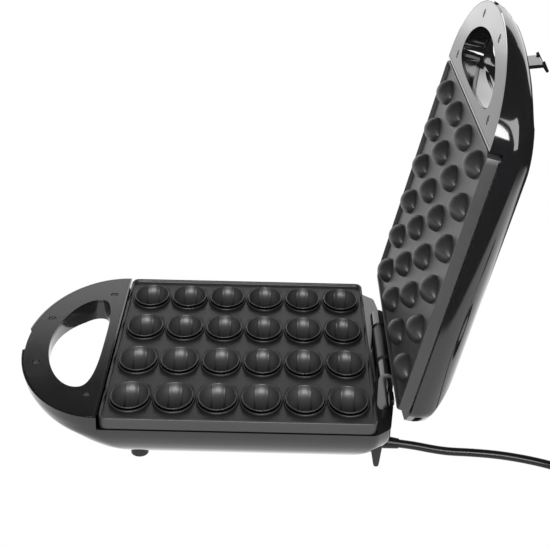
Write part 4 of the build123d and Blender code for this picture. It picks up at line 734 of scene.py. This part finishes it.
def cell_centres():
    for row in range(ROWS):
        for column in range(COLUMNS):
            yield np.array([(column - (COLUMNS - 1) / 2) * PITCH_X, (row - (ROWS - 1) / 2) * PITCH_Y])


def lift(ring, height):
    """Plan points at a height over the parting plane."""
    return np.concatenate([ring, np.full((len(ring), 1), PARTING + height)], axis=1)


def plate_edge(shape, turn, face, back, lip_top, skirt_end):
    """The margin, rounded lip, skirt and inner skirt round the block of cells."""
    block_x, block_y = COLUMNS * PITCH_X / 2, ROWS * PITCH_Y / 2
    border = []
    corner_x = np.concatenate([cell_border(turn)[np.abs(np.sin(turn)) >= np.abs(np.cos(turn)) - 1e-9][:, 0]])
    corner_y = np.concatenate([cell_border(turn)[np.abs(np.cos(turn)) >= np.abs(np.sin(turn)) - 1e-9][:, 1]])
    along_x = sorted({round(cx + x, 6) for cx in (np.arange(COLUMNS) - (COLUMNS - 1) / 2) * PITCH_X for x in corner_x})
    along_y = sorted({round(cy + y, 6) for cy in (np.arange(ROWS) - (ROWS - 1) / 2) * PITCH_Y for y in corner_y})
    border += [(x, -block_y) for x in along_x[:-1]]
    border += [(block_x, y) for y in along_y[:-1]]
    border += [(x, block_y) for x in along_x[:0:-1]]
    border += [(-block_x, y) for y in along_y[:0:-1]]
    border = np.array(border)
    inner_x, inner_y = PLATE_HALF_X - PLATE_CORNER, PLATE_HALF_Y - PLATE_CORNER
    scaled = border * ((PLATE_HALF_X - LIP) / block_x, (PLATE_HALF_Y - LIP) / block_y)
    core = np.clip(scaled, (-inner_x, -inner_y), (inner_x, inner_y))
    away = scaled - core
    away /= np.linalg.norm(away, axis=1)[:, None]

    def ring(offset, height):
        return lift(core + away * (PLATE_CORNER - LIP + offset), height)

    up = 1 if lip_top > face else -1
    rows = [lift(border, face), ring(-0.5, face), ring(-0.15, face + up * 0.15), ring(0, face + up * 0.5)]
    rows += [ring(0.0, lip_top - up * 0.5), ring(0.15, lip_top - up * 0.15), ring(0.5, lip_top)]
    rows += [ring(LIP - 0.5, lip_top), ring(LIP - 0.15, lip_top - up * 0.15), ring(LIP, lip_top - up * 0.5)]
    rows += [ring(LIP, skirt_end + up * 0.3), ring(LIP - 0.3, skirt_end), ring(0.3, skirt_end)]
    rows += [ring(0.0, skirt_end + up * 0.3), ring(0.0, back), lift(border, back)]
    shape.grid(np.stack(rows), wrap=True)


def lower_plate():
    """The cup plate: sheet, rims with a foot bead, bowls with lengthwise ribs, and the skirt."""
    shape = Shape()
    turn = cup_turns()
    oval = np.stack([np.cos(turn), np.sin(turn)], axis=1)
    border = cell_border(turn)
    face, back = LOWER_FLOOR, LOWER_FLOOR - SHEET
    # offset from the inner rim and height, from the sheet up over the bead, the collar and the rim
    profile = [(2.3, face), (2.2, face + 0.15), (2.15, face + 0.5), (2.15, face + 1.0), (2.05, face + 1.25),
               (1.82, face + 1.35), (1.55, face + 1.25), (1.2, face + 1.15), (0.85, face + 1.3),
               (0.72, face + 1.7), (0.72, CUP_RIM - 1.2), (0.85, CUP_RIM - 0.8), (1.13, CUP_RIM - 0.6),
               (1.15, CUP_RIM - 0.3), (1.02, CUP_RIM - 0.08), (0.75, CUP_RIM), (0.35, CUP_RIM - 0.04),
               (0.08, CUP_RIM - 0.25), (0.0, CUP_RIM - 0.7)]
    across = np.concatenate([turn[turn <= pi + 1e-9]])
    around = np.linspace(0, pi, 21)
    for centre in cell_centres():
        start = oval * (CUP_HALF_WIDTH + 2.3, CUP_HALF_LENGTH + 2.3)
        rows = [lift(centre + border, face), lift(centre + (border + start) / 2, face)]
        for offset, height in profile:
            rows.append(lift(centre + oval * (CUP_HALF_WIDTH + offset, CUP_HALF_LENGTH + offset), height))
        shape.grid(np.stack(rows), wrap=True)
        bowl(shape, centre, across, around)
        under = [lift(centre + border, back)]
        wide, long = CUP_HALF_WIDTH + CUP_WALL, CUP_HALF_LENGTH + CUP_WALL
        top = CUP_RIM - 0.7
        first = np.arcsin(min(0.999, (top - back) / wide))
        for angle in np.linspace(first, pi / 2 - 0.02, 8):
            under.append(lift(centre + oval * (wide, long) * cos(angle), top - wide * sin(angle)))
        index = shape.grid(np.stack(under), wrap=True)
        shape.cap(index[-1])
    plate_edge(shape, turn, face, back, 0.0, -SKIRT)
    return shape.build("lower_plate")


def paint_crevice_shade(obj):
    """Attribute of painted shade: 1 in the groove between a cup's rim and its foot bead, 0.7 at the bead's foot, shade
    lines at the rib edges, and 0 elsewhere.
    """
    mesh = obj.data
    place = np.empty(3 * len(mesh.vertices), np.float32)
    mesh.vertices.foreach_get("co", place)
    points = place.reshape(-1, 3) / MM + (SHIFT, 0, 0)
    dx = (points[:, 0] / PITCH_X + COLUMNS / 2) % 1 * PITCH_X - PITCH_X / 2
    dy = (points[:, 1] / PITCH_Y + ROWS / 2) % 1 * PITCH_Y - PITCH_Y / 2
    height = points[:, 2] - PARTING
    out = np.full(len(points), -9.0)
    for offset in np.linspace(0.0, 2.6, 27):
        outside = (dx / (CUP_HALF_WIDTH + offset)) ** 2 + (dy / (CUP_HALF_LENGTH + offset)) ** 2 >= 1 - 1e-4
        out = np.where(outside, offset, out)
    # painted shade in the groove between rim and bead, and at the bead's foot
    groove = (out > 0.6) & (height > LOWER_FLOOR + 1.0) & (height < CUP_RIM - 0.5) & (out < 1.35)
    foot = (out > 2.05) & (height < LOWER_FLOOR + 0.55) & (height > LOWER_FLOOR - 0.1) & (out < 2.5)
    # the rib edges inside a bowl: painted shade in fine dark lines that fade towards its far end
    line = np.clip(1.6 - 2.0 * np.abs(np.abs(dx) - CUP_BAND_HALF - 0.4), 0, 1)
    rib_line_shade = line * ((out < 0) & (height < CUP_RIM - 1.6)) * np.clip(0.75 - 0.035 * dy, 0.3, 0.8)
    crevice_shade = mesh.attributes.new("crevice_shade", "FLOAT", "POINT")
    crevice_shade.data.foreach_set("value", (groove * 1.0 + foot * 0.7 + rib_line_shade).astype(np.float32))
    return obj


def bowl(shape, centre, across, around):
    """Half a spheroid on lines of constant width, so that the ribs run along them."""
    width = CUP_HALF_WIDTH * np.cos(across)
    girth = np.sin(across)
    a, b = np.meshgrid(np.arange(len(across)), around, indexing="ij")
    x = width[a]
    radius = girth[a]
    rib = ribs(x) * np.clip(np.sin(b) * 3.0, 0, 1) ** 0.5
    y = (CUP_HALF_LENGTH - rib) * radius * np.cos(b)
    z = CUP_RIM - 0.7 - (CUP_HALF_WIDTH - rib) * radius * np.sin(b)
    points = np.stack([centre[0] + x, centre[1] + y, PARTING + z], axis=-1)
    shape.grid(points)


def ribs(x):
    """Height over the bowl at a distance from its middle line: a flat band with a fine middle ridge."""
    edge = np.clip((CUP_BAND_HALF + 0.35 - np.abs(x)) / 0.7, 0, 1)
    band = 0.32 * edge * edge * (3 - 2 * edge)
    groove = -0.18 * np.exp(-((np.abs(x) - CUP_BAND_HALF - 0.6) / 0.4) ** 2)
    middle = 0.10 * np.exp(-(x / 0.8) ** 2)
    return band + groove + middle


def upper_plate():
    """The dome plate: pointed domes on a flat sheet with a lip, closed at the back."""
    shape = Shape()
    round_radius = (DOME_HALF_LENGTH ** 2 + DOME_HALF_WIDTH ** 2) / (2 * DOME_HALF_WIDTH)
    drop = round_radius - DOME_HALF_WIDTH

    def half_width(y):
        return np.sqrt(round_radius ** 2 - y ** 2) - drop

    ys = np.linspace(0, DOME_HALF_LENGTH, 4001)
    diagonal = ys[np.argmin(np.abs(half_width(ys) / DOME_HALF_WIDTH - ys / DOME_HALF_LENGTH))]
    quarter = np.concatenate([np.linspace(0, diagonal, 12), np.linspace(diagonal, DOME_HALF_LENGTH, 10)[1:]])
    line = np.concatenate([-quarter[:0:-1], quarter])
    wide = np.maximum(half_width(line), 0)
    right = np.stack([wide, line], axis=1)
    left = np.stack([-wide, line], axis=1)[-2:0:-1]
    outline = np.concatenate([right, left])
    turn = np.arctan2(outline[:, 1] / DOME_HALF_LENGTH, outline[:, 0] / DOME_HALF_WIDTH)
    border = cell_border(turn)
    face, back = UPPER_FLOOR, UPPER_FLOOR + SHEET
    around = np.linspace(0, pi, 25)
    for centre in cell_centres():
        rows = [lift(centre + border, face), lift(centre + (border + outline) / 2, face),
                lift(centre + outline, face)]
        shape.grid(np.stack(rows), wrap=True)
        a, b = np.meshgrid(wide, around, indexing="ij")
        y = np.repeat(line[:, None], len(around), axis=1)
        points = np.stack([centre[0] + a * np.cos(b), centre[1] + y, PARTING + face - a * np.sin(b)], axis=-1)
        shape.grid(points)
        index = shape.add(lift(centre + border, back))
        shape.cap(index)
    plate_edge(shape, turn, face, back, 0.0, SKIRT)
    return shape.build("upper_plate", lid=True)


# ---------------------------------------------------------------------------
# Handle trims.
# ---------------------------------------------------------------------------
TRIM_SCREWS = [(NOSE + 15.0, 39.5), (NOSE + 15.0, -39.5), (HANDLE_BACK - 11.2, 89.0), (HANDLE_BACK - 11.2, -89.0)]


def handle_trim(name, side):
    """The flat ring on a handle, closed, with its finger opening and screw recesses."""

    def level(depth):
        return PARTING + side * depth

    outer = trim_outer_ring(RIM_BAND + TRIM_GAP, HANDLE_BACK - RIM_BAND - TRIM_GAP)
    slab = prism(outer, *sorted((level(0), level(TRIM_THICKNESS - 0.05)))).build(name)
    tools = [prism(opening_ring(), *sorted((level(-1), level(TRIM_THICKNESS + 1)))).build("hole")]
    for x, y in TRIM_SCREWS:
        tools.append(prism(disc_ring(x, y, 3.2), *sorted((level(-1), level(1.3)))).build("recess"))
    return carve(slab, tools)


# ---------------------------------------------------------------------------
# Cord.
# ---------------------------------------------------------------------------
def cord_points():
    """The cord's route from its strain relief to the coil, as listed."""
    rest = CORD_DIAMETER / 2 + 0.1
    exit_x, exit_z = relief_end()
    join_x, join_y = COIL_CENTRE[0], COIL_CENTRE[1] - coil_radii()[0]
    return [
        (exit_x, -87.5, exit_z),
        (exit_x + 9.945, -87.5, exit_z - 1.045),
        (144.0, -87.3, 5.4),
        (157.0, -87.2, 3.6),
        (171.0, -86.9, rest),
        (193.0, -89.4, rest),
        (214.0, -95.5, rest),
        (234.0, -104.5, rest),
        (254.0, -119.0, rest),
        (join_x - CORD_DIAMETER - 24.0, join_y, rest),
        (join_x - CORD_DIAMETER, join_y, rest),
    ]


def relief_end():
    """Where the cord leaves its strain relief, from the relief's box in the frame."""
    low, high = (Vector(corner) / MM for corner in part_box("strain_relief"))
    tilt = radians(6.0)
    small = 7.6 / 2
    return high.x + SHIFT - small * sin(tilt), low.z + small * cos(tilt)


COIL_CENTRE = (306.0, -96.0)
COIL_PITCH = CORD_DIAMETER + 0.7
COIL_MID_RADIUS = 31.5
COIL_TURNS = 4


def coil_radii():
    """Radius of each half turn of one layer, from the outside in."""
    layer_turns = COIL_TURNS / 2
    outer = COIL_MID_RADIUS + COIL_PITCH * (layer_turns - 1) / 2 + COIL_PITCH / 4
    return [outer - COIL_PITCH * half / 2 for half in range(int(2 * layer_turns))]


def coil_points():
    """Control points of the coil's half turns: in on the table, up one layer, out on top."""
    rest = CORD_DIAMETER / 2 + 0.1
    radii = coil_radii()
    x, y = COIL_CENTRE[0], COIL_CENTRE[1] - radii[0]
    turns = [(radius, 0.0) for radius in radii] + [(radii[-1] - COIL_PITCH / 2, COIL_PITCH)]
    turns += [(radius, 0.0) for radius in radii[:0:-1]]
    points = []
    z = rest
    heading = 1
    steps = 8
    swell = 1 / cos(pi / steps / 2) ** 2
    for radius, rise in turns:
        for step in range(steps):
            angle = pi * (step + 0.5) / steps
            grown = radius * (1 + (swell - 1) * 0.5)
            points.append((x + heading * grown * sin(angle),
                           y + heading * (radius - grown * cos(angle)),
                           z + rise * (1 - cos(angle)) / 2))
        y += heading * 2 * radius
        z += rise
        heading = -heading
    return points, (x, y, z)


def plug_points(end):
    x, y, z = end
    neck = 30.0 / 2
    return [(x + 4, y, z), (x + 16, y, z), (x + 34, y + 2.5, (z + neck) / 2), (x + 52, y + 8.0, neck),
            (x + 66, y + 14.0, neck)]


def cord():
    """One smooth line for the free run, the coil and the tail to the plug."""
    coil, end = coil_points()
    points = to_world(cord_points() + coil + plug_points(end))
    curve = bpy.data.curves.new("cord", "CURVE")
    curve.dimensions = "3D"
    spline = curve.splines.new("NURBS")
    spline.points.add(len(points) - 1)
    for point, place in zip(spline.points, points):
        point.co = (*place, 1.0)
    spline.order_u = 3
    spline.use_endpoint_u = True
    spline.resolution_u = 8
    curve.resolution_u = 8
    curve.bevel_depth = CORD_DIAMETER / 2 * MM
    curve.bevel_resolution = 7
    curve.use_fill_caps = True
    obj = bpy.data.objects.new("mains_cord", curve)
    bpy.context.scene.collection.objects.link(obj)
    return obj, points


# ---------------------------------------------------------------------------
# Stage, lights and camera.
# ---------------------------------------------------------------------------
CAMERA_X = 24.04
CAMERA_Y = -976.09
CAMERA_OVER_RIM = 480.33
CAMERA_ELEVATION = radians(23.27)
CAMERA_ROLL = radians(1.31)
CAMERA_FOCAL_PIXELS = 1374.0
PICTURE_WIDTH = 550.0
SENSOR = 36.0


def camera():
    """The camera at the photograph's place, fitted to the corners of the plates and the handles."""
    data = bpy.data.cameras.new("camera")
    data.sensor_width = SENSOR
    data.lens = SENSOR * CAMERA_FOCAL_PIXELS / PICTURE_WIDTH
    data.clip_start = 0.05
    data.clip_end = 20.0
    obj = bpy.data.objects.new("camera", data)
    bpy.context.scene.collection.objects.link(obj)
    right = Vector((1, 0, 0))
    up = Vector((0, sin(CAMERA_ELEVATION), cos(CAMERA_ELEVATION)))
    back = Vector((0, -cos(CAMERA_ELEVATION), sin(CAMERA_ELEVATION)))
    rolled_right = cos(CAMERA_ROLL) * right + sin(CAMERA_ROLL) * up
    rolled_up = cos(CAMERA_ROLL) * up - sin(CAMERA_ROLL) * right
    turn = Matrix((rolled_right, rolled_up, back)).transposed().to_4x4()
    spot = to_world([CAMERA_X, CAMERA_Y, CAMERA_OVER_RIM + PARTING + CUP_RIM])
    obj.matrix_world = Matrix.Translation(Vector(spot)) @ turn
    bpy.context.scene.camera = obj


def area_light(name, place, target, size, power, size_y):
    data = bpy.data.lights.new(name, "AREA")
    data.energy = power
    data.shape = "RECTANGLE"
    data.size = size
    data.size_y = size_y
    obj = bpy.data.objects.new(name, data)
    bpy.context.scene.collection.objects.link(obj)
    place, target = Vector(place), Vector(target)
    obj.location = place
    obj.rotation_euler = (target - place).to_track_quat("-Z", "Y").to_euler()
    obj.visible_camera = False
    return obj


# the white table that reflections see: shares of X and Y in metres, and where each edge's fade ends and starts
TABLE_EDGES = [(-0.5, 1.0, -0.46, -0.42), (1.0, 0.0, 0.60, 0.50)]
# it is dark where both of these fades have ended: behind the maker, to the right
DARK_CORNER = [(1.0, 0.0, 0.21, 0.15), (0.0, 1.0, 0.26, 0.14)]


def stage():
    """A white floor and background, and soft boxes."""
    shape = Shape()
    reach = 6000.0
    shape.grid([[(-reach, -reach, 0), (reach, -reach, 0)], [(-reach, reach, 0), (reach, reach, 0)]])
    floor = shape.build("floor")
    material = bpy.data.materials.new("floor_white")
    material.use_nodes = True
    tree = material.node_tree
    tree.nodes.clear()
    out = tree.nodes.new("ShaderNodeOutputMaterial")
    mix = tree.nodes.new("ShaderNodeMixShader")
    path = tree.nodes.new("ShaderNodeLightPath")
    either = tree.nodes.new("ShaderNodeMath")
    either.operation = "MAXIMUM"
    glow = tree.nodes.new("ShaderNodeEmission")
    glow.inputs["Color"].default_value = (1, 1, 1, 1)
    glow.inputs["Strength"].default_value = 1.0
    matte = tree.nodes.new("ShaderNodeBsdfDiffuse")
    matte.inputs["Color"].default_value = (0.8, 0.8, 0.8, 1)
    dim = tree.nodes.new("ShaderNodeEmission")
    dim.inputs["Color"].default_value = (1, 1, 1, 1)
    dim.inputs["Strength"].default_value = 0.02
    beyond = tree.nodes.new("ShaderNodeMixShader")
    tree.links.new(path.outputs["Is Glossy Ray"], beyond.inputs[0])
    tree.links.new(matte.outputs[0], beyond.inputs[1])
    tree.links.new(dim.outputs[0], beyond.inputs[2])
    where = tree.nodes.new("ShaderNodeTexCoord")
    def join(operation, first, second):
        node = tree.nodes.new("ShaderNodeMath")
        node.operation = operation
        tree.links.new(first, node.inputs[0])
        tree.links.new(second, node.inputs[1])
        return node.outputs[0]

    def fade(x_share, y_share, outside, inside):
        """0 outside an edge of the table and 1 inside, smooth between."""
        lean = tree.nodes.new("ShaderNodeVectorMath")
        lean.operation = "DOT_PRODUCT"
        lean.inputs[1].default_value = (x_share, y_share, 0.0)
        tree.links.new(where.outputs["Object"], lean.inputs[0])
        edge = tree.nodes.new("ShaderNodeMapRange")
        edge.interpolation_type = "SMOOTHSTEP"
        edge.inputs["From Min"].default_value = outside
        edge.inputs["From Max"].default_value = inside
        tree.links.new(lean.outputs["Value"], edge.inputs["Value"])
        return edge.outputs["Result"]

    # reflections see a white table of limited size
    glossy = path.outputs["Is Glossy Ray"]
    for edge in TABLE_EDGES:
        glossy = join("MULTIPLY", glossy, fade(*edge))
    glossy = join("MULTIPLY", glossy, join("MAXIMUM", *(fade(*edge) for edge in DARK_CORNER)))
    tree.links.new(path.outputs["Is Camera Ray"], either.inputs[0])
    tree.links.new(glossy, either.inputs[1])
    tree.links.new(either.outputs[0], mix.inputs[0])
    tree.links.new(beyond.outputs[0], mix.inputs[1])
    tree.links.new(glow.outputs[0], mix.inputs[2])
    tree.links.new(mix.outputs[0], out.inputs["Surface"])
    floor.data.materials.append(material)
    world = bpy.data.worlds.new("studio")
    bpy.context.scene.world = world
    world.use_nodes = True
    tree = world.node_tree
    tree.nodes.clear()
    out = tree.nodes.new("ShaderNodeOutputWorld")
    mix = tree.nodes.new("ShaderNodeMixShader")
    path = tree.nodes.new("ShaderNodeLightPath")
    seen = tree.nodes.new("ShaderNodeBackground")
    seen.inputs["Strength"].default_value = 1.0
    seen.inputs["Color"].default_value = (1, 1, 1, 1)
    unseen = tree.nodes.new("ShaderNodeBackground")
    unseen.inputs["Strength"].default_value = 0.04
    unseen.inputs["Color"].default_value = (1, 1, 1, 1)
    tree.links.new(path.outputs["Is Camera Ray"], mix.inputs[0])
    tree.links.new(unseen.outputs[0], mix.inputs[1])
    tree.links.new(seen.outputs[0], mix.inputs[2])
    tree.links.new(mix.outputs[0], out.inputs["Surface"])
    area_light("front_box", (-0.05, -1.65, 0.90), (0.0, 0.0, 0.06), 1.9, 58.0, 0.62)
    area_light("back_wall", (0.0, 2.1, 0.535), (0.0, 0.0, 0.535), 3.6, 12.5, 1.07)
    area_light("right_box", (1.25, -1.10, 0.60), (0.1, 0.0, 0.15), 0.7, 15.0, 1.3)
    area_light("left_box", (-1.6, 0.1, 0.7), (0.0, 0.0, 0.1), 0.9, 1.2, 1.0)
    view = bpy.context.scene.view_settings
    view.view_transform = "Standard"


# ---------------------------------------------------------------------------
# Assembly.
# ---------------------------------------------------------------------------
def add_case():
    base = case_body("base_case", BASE_LEVELS, -1)
    joined = []
    deck = PARTING - RIM_DROP
    for side in (-1, 1):
        low, high = sorted((side * 33.0, side * 57.0))
        joined.append(rod_y(HINGE_X, PARTING, HINGE_RADIUS, low, high).build("knuckle"))
        joined.append(block((HINGE_X - HINGE_RADIUS, low, deck - 1.2), (SHELL_REAR, high, PARTING)).build("web"))
        low = side * 68.0 - 7.0
        joined.append(block((SHELL_REAR - 3.5, low, deck - 1.2), (SHELL_REAR, low + 14, PARTING - 6.7)).build("pad"))
    carve(base, joined, "UNION")
    bores = [rod_y(HINGE_X, PARTING, 3.0, low, low + 23).build("bore") for low in (32.0, -55.0)]
    carve(base, bores)
    soften(base, 0.35, 50)
    dress(base, CASE, "base", "base_shell", slot="case_black")
    lid = case_body("lid_case", LID_LEVELS, 1)
    vents = []
    for side in (-1, 1):
        vent = block((-5.0, -4.5, -2.1), (5.0, 4.5, 2.1))
        turn = -side * pi / 4
        points = vent.points[0]
        flat = points[:, :2] @ np.array([[cos(turn), sin(turn)], [-sin(turn), cos(turn)]])
        centre = (SHELL_REAR - 10.5, side * (SHELL_HALF - 5.5), PARTING + RIM_DROP + 6.5)
        vent.points[0] = np.concatenate([flat, points[:, 2:]], axis=1) + centre
        vents.append(vent.build("vent"))
    slot = block((NOSE - 10, -14.7, PARTING + 9.0), (OPENING_STRAIGHT - OPENING_REACH + 2, 14.7, PARTING + 60))
    front = block((NOSE - 10, -14.7, PARTING - 5.0), (NOSE + RIM_BAND + 0.6, 14.7, PARTING + 60))
    carve(lid, [slot.build("slot"), front.build("slot_front"), *vents])
    swing(lid)
    soften(lid, 0.35, 50)
    dress(lid, LID_CASE, "lid", "lid_shell", slot="case_black")


def add_plates():
    # the lower plate carries a painted-shade attribute for its grooves and rib edges
    lower = smooth(paint_crevice_shade(lower_plate()), 50)
    dress(lower, CUP_COATING_SHADED, "base", "lower_baking_plate", slot="plate_coating")
    upper = smooth(upper_plate(), 40)
    dress(upper, COATING, "lid", "upper_baking_plate", slot="plate_coating")


def add_trims():
    base = soften(handle_trim("base_trim", -1), 0.55, 50)
    dress(base, TRIM, "base", "base_handle_trim", slot="trim_black")
    lid = soften(swing(handle_trim("lid_trim", 1)), 0.55, 50)
    dress(lid, TRIM, "lid", "lid_handle_trim", slot="trim_black")


def add_legs():
    """The two rear legs: flat posts that taper towards the table."""
    for node in ("rear_leg_left", "rear_leg_right"):
        low, high = (Vector(corner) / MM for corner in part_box(node))
        x0, x1 = low.x + SHIFT, high.x + SHIFT
        shape = Shape()
        rows = []
        for share in (0.0, 0.04, 0.12, 1.0):
            swell = 0.9 if share == 0.0 else (0.25 if share == 0.04 else 0.0)
            a = x0 + 4.0 * (1 - share) + swell
            b = x1 - 5.5 + 2.5 * share - swell
            y0, y1 = low.y + 0.8 * (1 - share) + swell, high.y - 0.8 * (1 - share) - swell
            z = low.z + share * (high.z - low.z)
            rows.append([(a, y0, z), (b, y0, z), (b, y1, z), (a, y1, z)])
        index = shape.grid(rows, wrap=True)
        shape.cap(index[0])
        shape.cap(index[-1])
        dress(soften(shape.build(node + "_finished"), 0.6, 40), TRIM, "base", node, slot="leg_plastic")


def add_small_pieces():
    softened = [
        ("hinge_barrel", 0.3, HINGE, "lid", "hinge_grey"),
        ("hinge_bushes", 0.3, HINGE, "base", "hinge_grey"),
        ("latch", 0.5, CASE, "latch", "latch_black"),
        ("front_foot_left", 0.4, RUBBER, "base", "foot_rubber"),
        ("front_foot_right", 0.4, RUBBER, "base", "foot_rubber"),
        ("strain_relief", 0.3, SHEATH, "base", "cord_black"),
        ("plug", 0.8, SHEATH, "base", "cord_black"),
        ("base_trim_screws", 0.15, DARK_STEEL, "base", "screw_steel"),
        ("lid_trim_screws", 0.15, DARK_STEEL, "lid", "screw_steel"),
        ("power_lamp_lens", 0.2, LENS_RED, "lid", "lens_red"),
        ("ready_lamp_lens", 0.2, LENS_GREEN, "lid", "lens_green"),
    ]
    made = {}
    for node, width, material, body, slot in softened:
        piece = softened_copy(node, node + "_finished", width)
        made[node] = dress(piece, material, body, node, slot=slot)
    finish_nodes(BRASS, "plug_pins")
    finish_nodes(STEEL, "hinge_pin_left", "hinge_pin_right", "latch_pin", "lower_plate_screws",
                 "upper_plate_screws", "base_case_screws", "hinge_barrel_screws")
    finish_nodes(DARK_STEEL, "lower_heating_element", "upper_heating_element")
    finish_nodes(ALUMINIUM, "lower_reflector_pan", "upper_reflector_pan", "thermostat")
    finish_nodes(IVORY, "terminal_block", "cord_clamp", "thermal_fuse")
    finish_nodes(INSULATION, "base_wiring", "lid_wiring", "hinge_wire_sleeve", "power_lamp", "ready_lamp")
    finish_nodes(SHEATH, "inner_cord")
    return made


def add_cord():
    obj, points = cord()
    obj.data.materials.append(SHEATH)
    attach(obj, "base")
    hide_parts("power_cord", "cord_coil")


camera()
stage()
add_case()
add_plates()
add_trims()
add_legs()
small = add_small_pieces()
add_cord()
